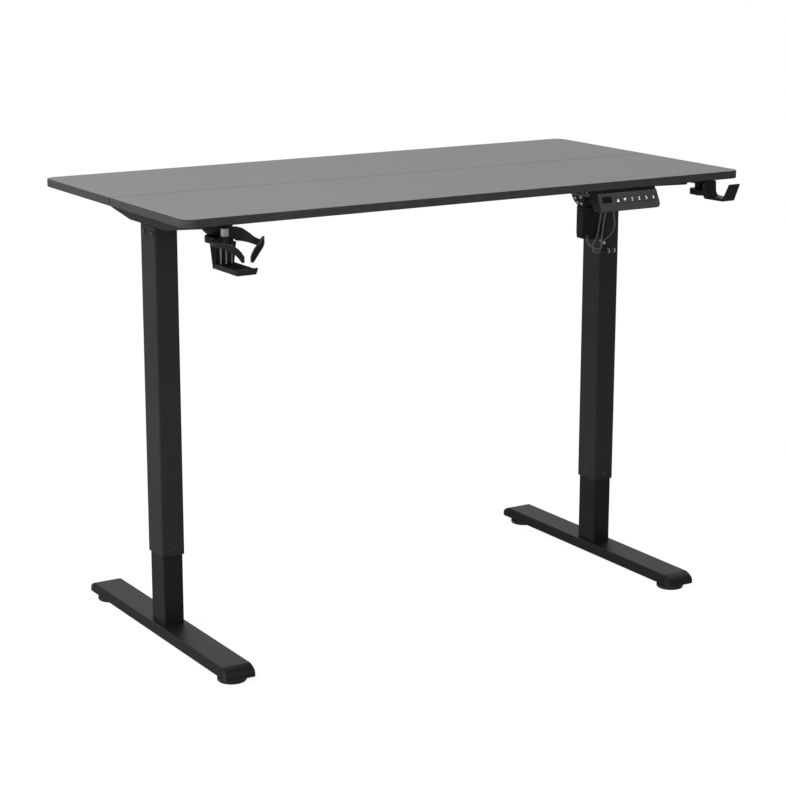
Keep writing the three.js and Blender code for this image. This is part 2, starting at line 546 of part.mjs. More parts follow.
function makePanelCase() {
  const half = panel.length / 2;
  const side = new THREE.Shape();
  side.moveTo(frontEdge + panel.headInset, underside - SLIP);
  side.lineTo(frontEdge + panel.headInset, underside - panelFace.topZ + 0.6);
  side.lineTo(frontEdge - panelFace.topY, underside - panelFace.topZ);
  side.lineTo(frontEdge - panelFace.bottomY, underside - panelFace.bottomZ);
  side.quadraticCurveTo(frontEdge - panelFace.bottomY - 0.6, underside - panelFace.bottomZ - 2,
    frontEdge - panelFace.bottomY + 3, underside - panelFace.bottomZ - 2.5);
  side.lineTo(frontEdge + 6, underside - panelFace.bottomZ - 2.5);
  side.lineTo(frontEdge + panel.bodyDepth, underside - panel.rearHeight);
  side.lineTo(frontEdge + panel.bodyDepth, underside - SLIP);
  side.closePath();
  const right = panelX + half + panel.flare;
  const run = solid(alongX(extrude(side, panelX - half, right, { bevelSize: panel.bevel })));
  const foot = underside - panelFace.bottomZ - 2.5;
  const outline = new THREE.Shape();
  outline.moveTo(panelX - half, underside);
  outline.lineTo(panelX - half, foot + panel.cornerLeft);
  outline.quadraticCurveTo(panelX - half, foot, panelX - half + panel.cornerLeft, foot);
  outline.lineTo(right - panel.cornerRight, foot);
  outline.quadraticCurveTo(right, foot, right - 0.6, foot + panel.cornerRight);
  outline.lineTo(right - panel.flare, underside);
  outline.closePath();
  const front = solid(alongY(extrude(outline, -frontEdge - panel.bodyDepth - 5, -frontEdge + 40, { curve: 6 })));
  let body = run.intersect(front);
  const window = onFace(extrude(roundedRect(display.x - display.width / 2, display.x + display.width / 2,
    display.up - display.height / 2, display.up + display.height / 2, 1), -display.recess, 3, { curve: 2 }));
  body = body.subtract(solid(window));
  for (let i = 0; i < keys.count; i += 1) {
    const pocket = onFace(extrude(keyOutline(i, SLIP), -keyPocketDepth, 3, { curve: 2 }));
    body = body.subtract(solid(pocket));
  }
  return mesh('panel_case', body, blackPlastic);
}

function keyOutline(index, margin) {
  const x = keys.firstX + index * keys.pitch;
  return roundedRect(x - keys.width / 2 - margin, x + keys.width / 2 + margin,
    keys.up - keys.height / 2 - margin, keys.up + keys.height / 2 + margin, keys.corner);
}

function makeDisplay() {
  return mesh('display_window', onFace(extrude(roundedRect(display.x - display.width / 2 + SLIP,
    display.x + display.width / 2 - SLIP, display.up - display.height / 2 + SLIP,
  display.up + display.height / 2 - SLIP, 0.8),
  -display.recess + SLIP, 0.1, { curve: 2 })), glossPlastic);
}

const keyNames = ['key_up', 'key_down', 'key_1', 'key_2', 'key_3', 'key_4'];

function makeKey(index) {
  const cap = extrude(keyOutline(index, 0), keys.proud - keys.body, keys.proud, { curve: 2 });
  return mesh(keyNames[index], onFace(cap), blackPlastic);
}

// ---------------------------------------------------------------- swivel mounts, hook, cup holder

// Heights of the swivelling hub that hangs under a mount.
const hubHeights = ({ hubDepth }) => [underside - hubDepth - swivel.hubThickness, underside - hubDepth];

// Screwed under the desktop; the swivelling piece hangs on a bolt in its post. Its axis is at the origin.
function makeSwivelMount(name, form, outline) {
  const hubTop = hubHeights(form)[1];
  const bore = drum(swivel.boltRadius + SLIP, hubTop - 5, underside - 4, 16);
  return mesh(name, solid(turned(outline, 28)).subtract(bore), blackPlastic);
}

function makeHookMount() {
  const top = underside - SLIP;
  const { flange, flangeThickness, post } = hookMount;
  const foot = hubHeights(hookMount)[1] + SLIP;
  return makeSwivelMount('hook_mount', hookMount, [[0, foot], [post, foot], [post, top - flangeThickness - 1],
    [post + 2, top - flangeThickness], [flange - 1, top - flangeThickness], [flange, top - flangeThickness + 1],
    [flange, top], [0, top]]);
}

function makeCupMount() {
  const top = underside - SLIP;
  const { flange, flangeThickness, neck: throat } = cupMount;
  const foot = hubHeights(cupMount)[1] + SLIP;
  return makeSwivelMount('cup_mount', cupMount, [[0, foot], [throat, foot], [flange, top - flangeThickness],
    [flange, top], [0, top]]);
}

function makePivotBolt(name, form) {
  const { boltRadius, boltHead, boltHeadHeight } = swivel;
  const head = hubHeights(form)[0] - SLIP;
  return mesh(name, turned([[0, head - boltHeadHeight], [boltHead - 1.5, head - boltHeadHeight],
    [boltHead, head], [boltRadius, head], [boltRadius, underside - 6], [0, underside - 6]], 20), zincSteel);
}

const hub = ([bottom, top], { hubRadius }) => drum(hubRadius, bottom, top, 28);
const hubBore = ([bottom, top]) => drum(swivel.boltRadius + swivel.boltPlay, bottom - 1, top + 1, 16);

// Y is measured from the swivel's axis, which lies swivel.setback behind the desktop's front edge.
function makeHook() {
  const back = -swivel.setback;
  const z = underside;
  const { width, bottom, bottomThickness, lipReach, lipThickness, lipTop, gap, inside, outside } = hook;
  const heights = hubHeights(hookMount);
  const rear = back - hook.plateBack;
  const front = back - hook.plateFront;
  const lipFoot = back - gap - 6;
  const lipHead = back - lipReach;
  const floorZ = z - bottom + bottomThickness;
  const side = new THREE.Shape();
  side.moveTo(rear, z - 1.2);
  side.lineTo(rear, z - bottom + outside);
  side.quadraticCurveTo(rear, z - bottom, rear - outside, z - bottom);
  side.lineTo(lipFoot + 4, z - bottom + 1);
  side.quadraticCurveTo(lipFoot - 2, z - bottom + 1.5, lipFoot - 3.5, z - bottom + 6);
  side.lineTo(lipHead, z - lipTop - 0.6);
  side.lineTo(lipHead + lipThickness, z - lipTop);
  side.lineTo(lipFoot + 1.5, floorZ + 3);
  side.quadraticCurveTo(lipFoot + 3, floorZ, lipFoot + 7, floorZ);
  side.lineTo(front - inside, floorZ + 1);
  side.quadraticCurveTo(front, floorZ + 2, front, floorZ + 12);
  side.lineTo(front + 1, z - 1.2);
  side.closePath();
  const strap = solid(alongX(extrude(side, -width / 2, width / 2, { bevelSize: hook.bevel })));
  const bridge = block(-width / 2 + 1.5, width / 2 - 1.5, rear - 2, 0, ...heights);
  return mesh('hook', strap.add(bridge).add(hub(heights, hookMount)).subtract(hubBore(heights)), blackPlastic);
}

function makeCupCradle() {
  const back = -swivel.setback;
  const z = underside;
  const heights = hubHeights(cupMount);
  const wallY = back + cup.wallFront;
  const wallTop = heights[0] + 2;
  const floorTop = z - cup.floor + cup.floorThickness;
  const wall = solid(alongY(extrude(polygon([[-cup.wallTop, wallTop], [-cup.wallBottom, z - cup.floor],
    [cup.wallBottom, z - cup.floor], [cup.wallTop, wallTop]]), -wallY - cup.wallThickness, -wallY)));
  const trayOutline = roundedRect(-cup.trayHalf, cup.trayHalf, back - cup.trayFront, wallY + cup.wallThickness,
    [cup.trayCorner, cup.trayCorner, 0, 0]);
  const trayHollow = roundedRect(-cup.trayHalf + cup.rimThickness, cup.trayHalf - cup.rimThickness,
    back - cup.trayFront + cup.rimThickness, wallY, [1, 1, 0, 0]);
  const tray = solid(extrude(trayOutline, z - cup.floor, z - cup.floor + cup.rim, { bevelSize: 0.8 }))
    .subtract(solid(extrude(trayHollow, floorTop, z - cup.floor + cup.rim + 1)));
  const lip = solid(alongX(extrude(polygon([
    [back - cup.trayFront + cup.rimThickness, z - cup.floor + 1], [back - cup.trayFront + 0.5, z - cup.floor + 1],
    [back - cup.lipReach, z - cup.lipTop - 1], [back - cup.lipReach + cup.lipThickness, z - cup.lipTop]]),
  -cup.trayHalf + 0.5, cup.trayHalf - 0.5, { bevelSize: 0.6 })));
  const neck = block(-cup.wallBottom, cup.wallBottom, wallY, wallY + cup.wallThickness + 4, ...heights);
  const pinY = back - clawPin.y;
  const lugTop = z - clawPin.bottom - SLIP;
  const lug = solid(extrude(roundedRect(clawPin.x - clawPin.earHalf, clawPin.x + clawPin.earHalf,
    pinY - clawPin.radius - 1, wallY + 2, [6, 6, 0, 0]), lugTop - clawPin.lug, lugTop));
  const pin = drum(clawPin.pin, lugTop - 1, z - clawPin.top - 1, 12).translate([clawPin.x, pinY, 0]);
  let cradle = hub(heights, cupMount).add(neck).add(wall).add(tray).add(lip).add(lug).add(pin);
  for (let i = 0; i < cup.ribs; i += 1) {
    const x = (i - (cup.ribs - 1) / 2) * cup.ribPitch;
    cradle = cradle.add(drum(cup.ribRadius, z - cup.ribBottom, z - cup.ribTop, 8).translate([x, wallY, 0]));
  }
  return mesh('cup_cradle', cradle.subtract(hubBore(heights)), blackPlastic);
}

// A strap of even thickness along a plan of [x, y, top, bottom] stations, square across its own run.
function strapAlong(stations, thickness) {
  const ring = stations.map(([x, y, top, bottom], i) => {
    const [ax, ay] = stations[Math.max(i - 1, 0)];
    const [bx, by] = stations[Math.min(i + 1, stations.length - 1)];
    const run = Math.hypot(bx - ax, by - ay);
    const nx = ((by - ay) / run) * (thickness / 2);
    const ny = (-(bx - ax) / run) * (thickness / 2);
    return [[x - nx, y - ny, bottom], [x - nx, y - ny, top], [x + nx, y + ny, top], [x + nx, y + ny, bottom]];
  });
  const points = [];
  const quad = (a, b, c, d) => points.push(...a, ...b, ...c, ...a, ...c, ...d);
  for (let i = 0; i + 1 < ring.length; i += 1) {
    for (let k = 0; k < 4; k += 1) {
      const next = (k + 1) % 4;
      quad(ring[i][k], ring[i][next], ring[i + 1][next], ring[i + 1][k]);
    }
  }
  const last = ring[ring.length - 1];
  quad(ring[0][3], ring[0][2], ring[0][1], ring[0][0]);
  quad(last[0], last[1], last[2], last[3]);
  const geometry = new THREE.BufferGeometry();
  geometry.setAttribute('position', new THREE.BufferAttribute(new Float32Array(points), 3));
  return solid(geometry);
}

// One arm that curves round the cup and ends in a finger, on a knuckle between two depths on the common pin.
// Its stations are for the +X side; the other arm turns them over.
function makeCupClaw(name, side, stations, knuckleTop, knuckleBottom) {
  const z = underside;
  const pivotY = -swivel.setback - clawPin.y;
  const cupY = -swivel.setback - cup.centre;
  const run = stations.map(([x, y, top, bottom]) => [x, y + cupY, z - top, z - bottom]);
  run.unshift([side * clawPin.x + 2, pivotY, z - knuckleTop, z - knuckleBottom]);
  let strap = strapAlong(run, clawBand);
  if (side < 0) strap = strap.mirror([1, 0, 0]);
  const knuckle = drum(clawPin.radius, z - knuckleBottom, z - knuckleTop, 20).translate([clawPin.x, pivotY, 0]);
  const bore = drum(clawPin.pin + clawPin.play, z - knuckleBottom - 12, z, 12).translate([clawPin.x, pivotY, 0]);
  return mesh(name, strap.add(knuckle).subtract(bore), blackPlastic);
}

// ---------------------------------------------------------------- leads

// Routes from the right column's axis in X, and from the desktop's top surface and middle in Z and Y.
const panelRoute = [
  [-199.5, -275.4, -26], [-199.5, -264, -25.6], [-199.2, -246, -25.2], [-198.2, -228, -26.4],
  [-193.5, -205, -29.6], [-179, -178, -37], [-154, -148, -47], [-125, -120, -57], [-94, -96, -64.5],
  [-62, -76, -70.5], [-37, -62, -78], [-20, -50, -88], [-11, -41.5, -99], [-6.2, -37.5, -110],
  [-3.2, -36, -121], [-1.8, -36, -131], [-3, -36, -139.5], [-7, -36.2, -147.5], [-13, -36.6, -153.8],
  [-20.5, -37, -158.5], [-27.5, -37.3, -163.5], [-33, -37.5, -170.5], [-36.6, -37.5, -180.8],
  [-40.4, -37.5, -185.8], [-45.9, -37.5, -187.6], [-51.6, -37.5, -185.8], [-55.3, -37.5, -180.8],
  [-55.6, -37.5, -174], [-53, -37.5, -166.5], [-49, -37.5, -157], [-44.4, -37.5, -146], [-42, -37.5, -134],
  [-39.8, -37.5, -122], [-38, -37.7, -111], [-38, -38.6, -100], [-42, -40, -89], [-52, -41, -79],
  [-67, -38, -70], [-84, -24, -62], [-99, -2, -57.5], [-117, 32, -56], [-133, 64, -54.5], [-144.5, 88, -48],
  [-151, 98.5, -41], [-156.2, 104, -36.2], [-162, 107.6, -33], [-168.9, 109, -31.5],
];
const motorRoute = [
  [-63.1, -29.5, -150], [-66, -33, -150.6], [-70.5, -36.8, -153], [-73, -39.4, -158.5],
  [-71.3, -41.2, -165.5], [-66, -42.2, -171.5], [-59.5, -42.4, -176], [-53.5, -42.4, -178.6],
  [-47.6, -42.4, -179.2], [-41.8, -42.4, -176.8], [-38.2, -42.4, -171.4], [-37.6, -42.2, -164],
  [-38, -42, -157], [-37.8, -42, -150], [-36.2, -42, -141], [-34.7, -42, -131], [-33, -42, -121],
  [-31.3, -42.3, -112.5], [-30, -43.2, -104], [-30.5, -45, -94.5], [-36, -47, -85], [-48, -49, -77.5],
  [-64, -49.5, -72], [-80, -40, -68.5], [-94, -20, -66], [-106, 6, -64.5], [-121, 38, -63], [-133, 68, -61.5],
  [-143, 94, -56], [-151, 111, -48], [-156.2, 119, -40.3], [-159.4, 126.8, -35], [-161.7, 132.4, -32.8],
  [-165.2, 136, -31.8], [-168.9, 136.8, -31.5],
];

// Round lead along a smooth curve through the route's points.
function makeLead(name, route, { radius, sides, steps }) {
  const points = route.map(([x, y, z]) => new THREE.Vector3(x + columnX, y, z));
  const path = new THREE.CatmullRomCurve3(points, false, 'centripetal');
  const section = new THREE.Shape(Array.from({ length: sides }, (_, i) => {
    const angle = (2 * Math.PI * i) / sides;
    return new THREE.Vector2(radius * Math.cos(angle), radius * Math.sin(angle));
  }));
  return mesh(name, new THREE.ExtrudeGeometry(section, { steps, extrudePath: path, bevelEnabled: false }), rubber);
}

function makeLeadPlug() {
  const { left, length, y, z, radius, ring, ringAt, ringLength, taper } = leadPlug;
  const outline = [[0, 0], [radius - 1.2, 0], [radius, 1.2], [radius, ringAt - 0.5], [ring, ringAt],
    [ring, ringAt + ringLength], [radius, ringAt + ringLength + 0.5], [radius, length - taper], [radius - 1.6, length],
    [0, length]];
  const plug = turned(outline, 20).rotateY(Math.PI / 2).translate(columnX + left, y, z);
  return mesh('lead_plug', plug, blackPlastic);
}

// ---------------------------------------------------------------- assembly

const desk = new THREE.Group();

const base = new THREE.Group();
base.add(makeFoot(-1, 'left'), makeFoot(1, 'right'));
desk.add(base);

const upper = place(new THREE.Group(), 0, 0, surfaceHeight);
desk.add(upper);
upper.add(makeBoard('desktop_front_board', -1), makeBoard('desktop_rear_board', 1), makeSeamPlate());

for (const [side, label] of [[-1, 'left'], [1, 'right']]) {
  upper.add(makeSideBracket(`side_bracket_${label}`, side));
  const head = place(new THREE.Group(), side * columnX, column.setback, 0);
  head.add(makeHeadBracket(`head_bracket_${label}`, side));
  head.add(makeOuterTube(`outer_tube_${label}`));
  head.add(makeCollar(`glide_collar_${label}`));
  const drive = place(new THREE.Group(), 0, 0, shaftZ);
  drive.add(makeGearbox(`gearbox_housing_${label}`));
  drive.add(makeScrewGear(`screw_gear_${label}`));
  drive.add(makeShaftGear(`shaft_gear_${label}`));
  drive.add(makeLeadScrew(`lead_screw_${label}`));
  head.add(drive);
  upper.add(head);
}

const beamY = headBracket.halfDepth + SLIP + crossbeam.depth / 2;
const beamZ = underside - crossbeam.top - crossbeam.height / 2;
upper.add(place(makeCrossbeam('crossbeam_front'), 0, column.setback - beamY, beamZ));
upper.add(place(makeCrossbeam('crossbeam_rear'), 0, column.setback + beamY, beamZ));

const shaftLine = place(new THREE.Group(), 0, column.setback, shaftZ);
shaftLine.add(makeHexShaft(), makeDriveHub(), makeMotorGearcase());
upper.add(shaftLine);
upper.add(makeMotorCan(), makeControlBox(), makeInlet());

upper.add(makePanelCase(), makeDisplay());
for (let i = 0; i < keys.count; i += 1) upper.add(makeKey(i));

const cupHolder = place(new THREE.Group(), -swivelX, frontEdge + swivel.setback, 0);
cupHolder.add(makeCupMount(), makePivotBolt('cup_pivot_bolt', cupMount), makeCupCradle());
cupHolder.add(makeCupClaw('cup_claw_left', -1, clawLeft, clawPin.split + SLIP, clawPin.bottom));
cupHolder.add(makeCupClaw('cup_claw_right', 1, clawRight, clawPin.top, clawPin.split));
upper.add(cupHolder);

const hookSet = place(new THREE.Group(), swivelX, frontEdge + swivel.setback, 0);
hookSet.add(makeHookMount(), makePivotBolt('hook_pivot_bolt', hookMount), makeHook());
upper.add(hookSet);

const leads = [makeLead('panel_lead', panelRoute, panelLead), makeLead('motor_lead', motorRoute, motorLead),
  makeLeadPlug()];

// The origin is the middle of the floor rectangle under everything but the leads.
desk.updateMatrixWorld(true);
const footprint = new THREE.Box3().setFromObject(desk, true);
desk.position.y = -(footprint.min.y + footprint.max.y) / 2;
upper.add(...leads);

export default desk;
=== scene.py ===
import json
import math

import bmesh
import bpy
from bpy.props import FloatProperty, FloatVectorProperty, PointerProperty
from mathutils import Matrix, Vector


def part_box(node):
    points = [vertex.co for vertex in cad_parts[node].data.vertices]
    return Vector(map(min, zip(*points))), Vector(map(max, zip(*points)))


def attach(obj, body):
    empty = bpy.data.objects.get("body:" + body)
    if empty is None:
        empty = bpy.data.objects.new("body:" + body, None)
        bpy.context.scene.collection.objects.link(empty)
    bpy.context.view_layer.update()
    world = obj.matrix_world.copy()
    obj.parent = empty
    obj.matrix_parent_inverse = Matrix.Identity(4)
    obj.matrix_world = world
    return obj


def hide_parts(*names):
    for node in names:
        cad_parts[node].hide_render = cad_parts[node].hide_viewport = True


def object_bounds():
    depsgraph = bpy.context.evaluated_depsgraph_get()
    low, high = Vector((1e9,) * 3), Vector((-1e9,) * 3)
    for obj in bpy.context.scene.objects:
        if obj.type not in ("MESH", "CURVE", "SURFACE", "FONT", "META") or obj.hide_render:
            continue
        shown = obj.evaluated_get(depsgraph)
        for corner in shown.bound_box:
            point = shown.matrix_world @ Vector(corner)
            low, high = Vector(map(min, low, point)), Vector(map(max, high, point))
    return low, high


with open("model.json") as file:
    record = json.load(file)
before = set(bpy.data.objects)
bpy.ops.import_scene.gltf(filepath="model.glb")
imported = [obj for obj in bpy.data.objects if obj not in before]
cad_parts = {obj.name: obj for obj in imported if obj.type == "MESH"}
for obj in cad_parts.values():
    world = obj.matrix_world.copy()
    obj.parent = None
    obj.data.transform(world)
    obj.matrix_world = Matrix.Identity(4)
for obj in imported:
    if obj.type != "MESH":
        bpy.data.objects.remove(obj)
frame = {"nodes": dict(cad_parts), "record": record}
CAD_BOX = [[float(c) for c in corner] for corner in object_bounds()]

bl_info = {
    "name": "Standing desk",
    "version": (1, 0, 0),
    "blender": (4, 5, 0),
    "location": "3D View > Sidebar > Desk",
    "description": "Builds the finished look of a height adjustable standing desk round its frame",
    "category": "Add Mesh",
}

MM = 0.001
SIDES = ("left", "right")
ENDS = ("front", "rear")

# Which body carries each frame node, and the material slot that the record gives it.
CARRIER = {
    node: body for body, nodes in frame["record"]["behaviour"]["bodies"].items() for node in nodes
}
SLOT = {part["node"]: part["material_slot"] for part in frame["record"]["subparts"]}


# ---------------------------------------------------------------- places

def corners(*nodes):
    """Lowest and highest corner of one or more frame nodes."""
    boxes = [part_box(node) for node in nodes]
    low = Vector([min(box[0][i] for box in boxes) for i in range(3)])
    high = Vector([max(box[1][i] for box in boxes) for i in range(3)])
    return low, high


DECK_LOW, DECK_HIGH = corners("desktop_front_board", "desktop_rear_board")
# The middle of the desktop's top surface: most pieces of the upper frame are placed from it.
DECK = Vector(((DECK_LOW.x + DECK_HIGH.x) / 2, (DECK_LOW.y + DECK_HIGH.y) / 2, DECK_HIGH.z))


def deck(x, y, z):
    """A point given in millimetres from the middle of the desktop's top surface."""
    return DECK + Vector((x, y, z)) * MM


def column_axis(side):
    low, high = corners("outer_tube_" + side)
    spot = (low + high) / 2
    return Vector((spot.x, spot.y, 0))


# ---------------------------------------------------------------- settings

def length(title, description, default):
    return FloatProperty(
        name=title, description=description, default=default, unit="LENGTH", precision=4
    )


def angle(title, description, degrees):
    return FloatProperty(
        name=title, description=description, default=math.radians(degrees), subtype="ANGLE"
    )


def power(title, description, default):
    return FloatProperty(name=title, description=description, default=default, min=0, unit="POWER")


def brightness(title, description, default):
    return FloatProperty(name=title, description=description, default=default, min=0)


def colour(title, description, default):
    return FloatVectorProperty(
        name=title, description=description, default=default, subtype="COLOR", size=3, min=0, max=1
    )


class DeskSizes(bpy.types.PropertyGroup):
    """Sizes of the details that the frame leaves plain."""

    corner_radius: length("Corner radius", "Radius of the desktop's corners seen from above", 0.022)
    edge_round: length("Edge round", "Radius along the desktop's upper and lower edge", 0.0012)
    tube_corner: length("Column corner", "Outer radius of the columns' long corners", 0.004)
    sheet_round: length("Sheet round", "Rounding of cut sheet steel edges", 0.0004)
    mould_round: length("Mould round", "Rounding of moulded plastic edges", 0.0007)
    wood_screw: length("Wood screw", "Head radius of the screws into the desktop", 0.0042)
    machine_screw: length("Machine screw", "Head radius of the screws in the frame", 0.0048)
    panel_lead: length("Panel lead", "Outer diameter of the key panel's lead", 0.004)
    motor_lead: length("Motor lead", "Outer diameter of the motor's lead", 0.004)
    digit_height: length("Digit height", "Height of the digits printed on the keys", 0.0058)
    screw_pitch: length("Thread pitch", "Distance between ridges of the lead screws", 0.004)


class DeskColours(bpy.types.PropertyGroup):
    """Colours of the finishes, as linear values."""

    laminate: colour("Laminate", "Desktop surface", (0.064, 0.064, 0.0645))
    edge_band: colour("Edge band", "Band round the desktop's edge", (0.022, 0.022, 0.0225))
    powder: colour("Powder coat", "Steel tubes and brackets", (0.009, 0.009, 0.0094))
    plastic: colour("Black plastic", "Moulded parts", (0.008, 0.008, 0.0084))
    # Lighter than the black plastic: a painted reflection on the key panel's front and keys.
    panel_plastic: colour("Panel plastic", "Key panel and its keys", (0.03, 0.03, 0.031))
    gloss: colour("Gloss plastic", "Display window and power inlet", (0.004, 0.004, 0.0045))
    zinc: colour("Zinc", "Plated screws and shafts", (0.56, 0.57, 0.58))
    steel: colour("Gear steel", "Machined steel", (0.34, 0.34, 0.35))
    nylon: colour("Nylon", "Lift nuts", (0.74, 0.72, 0.66))
    rubber: colour("Sheath", "Leads", (0.07, 0.07, 0.07))
    printing: colour("Printing", "Marks on the keys", (0.78, 0.78, 0.78))


class DeskStudio(bpy.types.PropertyGroup):
    """Camera and light."""

    lens: FloatProperty(
        name="Lens", description="Focal length of the camera", default=98.593, min=10, unit="CAMERA"
    )
    yaw: angle("Yaw", "Camera's turn from +Y towards +X", 31.6093)
    pitch: angle("Pitch", "Camera's tilt above the horizon", -13.6547)
    roll: angle("Roll", "Camera's turn about its own axis", 0.0849)
    floor_size: length("Floor", "Side of the square floor", 24.0)
    world_level: brightness("World level", "Plain light from all round", 0.55)
    key_power: power("Key light", "Lamp high on the left", 170)
    fill_power: power("Fill light", "Lamp by the camera", 10)
    floor_level: brightness("Floor level", "Brightness of the floor to the camera", 1.07)
    floor_gloss: brightness("Floor in reflections", "Brightness of the floor in reflections", 0.26)
    shade: FloatProperty(
        name="Floor shade", description="How much of the shadow the white floor keeps", default=0.12,
        min=0, max=1,
    )


# ---------------------------------------------------------------- shader expressions

class Value:
    """A number, colour or vector that varies over a surface, as one output socket."""

    def __init__(self, tree, socket):
        self.tree = tree
        self.socket = socket

    def _math(self, operation, first, second):
        node = self.tree.nodes.new("ShaderNodeMath")
        node.operation = operation
        for socket, term in zip(node.inputs, (first, second)):
            if isinstance(term, Value):
                self.tree.links.new(term.socket, socket)
            else:
                socket.default_value = term
        return Value(self.tree, node.outputs[0])

    def __add__(self, other):
        return self._math("ADD", self, other)

    def __radd__(self, other):
        return self._math("ADD", other, self)

    def __sub__(self, other):
        return self._math("SUBTRACT", self, other)

    def __rsub__(self, other):
        return self._math("SUBTRACT", other, self)

    def __mul__(self, other):
        return self._math("MULTIPLY", self, other)

    def __rmul__(self, other):
        return self._math("MULTIPLY", other, self)


class Nodes:
    """The node tree of a material or of the world, emptied and given its output."""

    def __init__(self, owner, output):
        owner.use_nodes = True
        self.tree = owner.node_tree
        self.tree.nodes.clear()
        self.output = self.tree.nodes.new(output)

    def node(self, kind, settings=None, inputs=None, output=0):
        """Adds a node: its settings first, then the values or links of its sockets."""
        node = self.tree.nodes.new(kind)
        for key, value in (settings or {}).items():
            setattr(node, key, value)
        for key, value in (inputs or {}).items():
            socket = node.inputs[key]
            if isinstance(value, Value):
                self.tree.links.new(value.socket, socket)
            else:
                socket.default_value = value
        if isinstance(output, tuple):
            return [Value(self.tree, node.outputs[key]) for key in output]
        return Value(self.tree, node.outputs[output])

    def rays(self):
        """Masks of what the camera sees directly, by reflection and through glass."""
        names = ("Is Camera Ray", "Is Glossy Ray", "Is Transmission Ray")
        return self.node("ShaderNodeLightPath", output=names)

    def show(self, shader):
        self.tree.links.new(shader.socket, self.output.inputs["Surface"])


class Finish(Nodes):
    """A material under construction."""

    def __init__(self, name):
        self.material = bpy.data.materials.new(name)
        super().__init__(self.material, "ShaderNodeOutputMaterial")

    def place(self, stretch=(1, 1, 1)):
        """The point on the piece, in metres, stretched for grain."""
        spot = self.node("ShaderNodeTexCoord", output="Object")
        return self.node("ShaderNodeVectorMath", {"operation": "MULTIPLY"}, {0: spot, 1: stretch})

    def noise(self, scale, detail, roughness, stretch=(1, 1, 1)):
        """Cloudy variation from 0 to 1, with about scale clouds in a metre."""
        return self.node(
            "ShaderNodeTexNoise", None,
            {"Vector": self.place(stretch), "Scale": scale, "Detail": detail, "Roughness": roughness},
        )

    def cells(self, scale):
        """Distance from the middle of small cells, as in a moulded grain."""
        return self.node("ShaderNodeTexVoronoi", None, {"Vector": self.place(), "Scale": scale})

    def band(self, value, low, high):
        """Takes value from low..high to 0..1, kept inside."""
        return self.node(
            "ShaderNodeMapRange", {"clamp": True},
            {"Value": value, "From Min": low, "From Max": high, "To Min": 0, "To Max": 1},
        )

    def mix(self, amount, first, second):
        """A colour between two others."""
        return self.node(
            "ShaderNodeMix", {"data_type": "RGBA"},
            {"Factor": amount, 6: (*first, 1), 7: (*second, 1)}, 2,
        )

    def bump(self, height, distance, strength):
        return self.node(
            "ShaderNodeBump", None, {"Height": height, "Distance": distance, "Strength": strength}
        )

    def surface(self, **inputs):
        """The surface shader, with its sockets given by their names in lower case."""
        named = {
            key.replace("_", " ").title().replace("Ior", "IOR"): value for key, value in inputs.items()
        }
        self.show(self.node("ShaderNodeBsdfPrincipled", None, named))
        return self.material


def shaded(base, factor):
    """A colour made lighter or darker by a factor."""
    return tuple(min(1.0, channel * factor) for channel in base)


def laminate_finish(base):
    """Matt laminate with a fine pearl texture."""
    finish = Finish("desktop_laminate")
    cloud = finish.noise(5, 4, 0.6)
    pearl = finish.noise(1400, 2, 0.5)
    fleck = finish.noise(420, 3, 0.6)
    tone = finish.band(cloud * 0.5 + fleck * 0.5, 0.3, 0.7)
    return finish.surface(
        base_color=finish.mix(tone, shaded(base, 0.9), shaded(base, 1.1)),
        roughness=0.36 + finish.band(pearl, 0.3, 0.7) * 0.08,
        ior=1.47,
        normal=finish.bump(pearl * 0.7 + fleck * 0.3, 0.00006, 0.5),
    )


def edge_finish(base):
    """Plastic edge band with long faint grain marks."""
    finish = Finish("desktop_edge_band")
    along = finish.noise(260, 4, 0.65, (0.16, 0.16, 2.4))
    pore = finish.noise(900, 2, 0.5, (0.3, 0.3, 1.6))
    grain = finish.band(along * 0.7 + pore * 0.3, 0.36, 0.66)
    return finish.surface(
        base_color=finish.mix(grain, shaded(base, 0.62), shaded(base, 1.5)),
        roughness=0.42 + grain * 0.16,
        ior=1.45,
        normal=finish.bump(along, 0.0002, 0.5),
    )


def powder_finish(name, base, shine):
    """Satin powder coat with a fine orange peel."""
    finish = Finish(name)
    peel = finish.noise(900, 2, 0.45)
    speck = finish.noise(2600, 1, 0.4)
    cloud = finish.noise(7, 3, 0.6)
    return finish.surface(
        base_color=finish.mix(finish.band(cloud, 0.3, 0.7), shaded(base, 0.88), shaded(base, 1.14)),
        roughness=0.43 + finish.band(peel, 0.3, 0.7) * 0.1,
        ior=1.42,
        specular_ior_level=shine,
        normal=finish.bump(peel * 0.8 + speck * 0.2, 0.00012, 0.45),
    )


def plastic_finish(name, base, roughness=0.34, shine=0.5):
    """Black plastic with a fine moulded grain."""
    finish = Finish(name)
    grain = finish.cells(1700)
    cloud = finish.noise(30, 3, 0.6)
    return finish.surface(
        base_color=finish.mix(finish.band(cloud, 0.3, 0.7), shaded(base, 0.88), shaded(base, 1.16)),
        roughness=roughness + finish.band(grain, 0.1, 0.7) * 0.1,
        ior=1.48,
        specular_ior_level=shine,
        normal=finish.bump(grain, 0.00006, 0.4),
    )


def gloss_finish(base):
    """Polished plastic with a few fine rub marks."""
    finish = Finish("gloss_black_plastic")
    rub = finish.noise(240, 4, 0.6, (1, 6, 1))
    return finish.surface(
        base_color=finish.mix(finish.band(rub, 0.4, 0.7), base, shaded(base, 1.5)),
        roughness=0.08 + finish.band(rub, 0.5, 0.75) * 0.1,
        ior=1.5,
        specular_ior_level=0.12,
    )


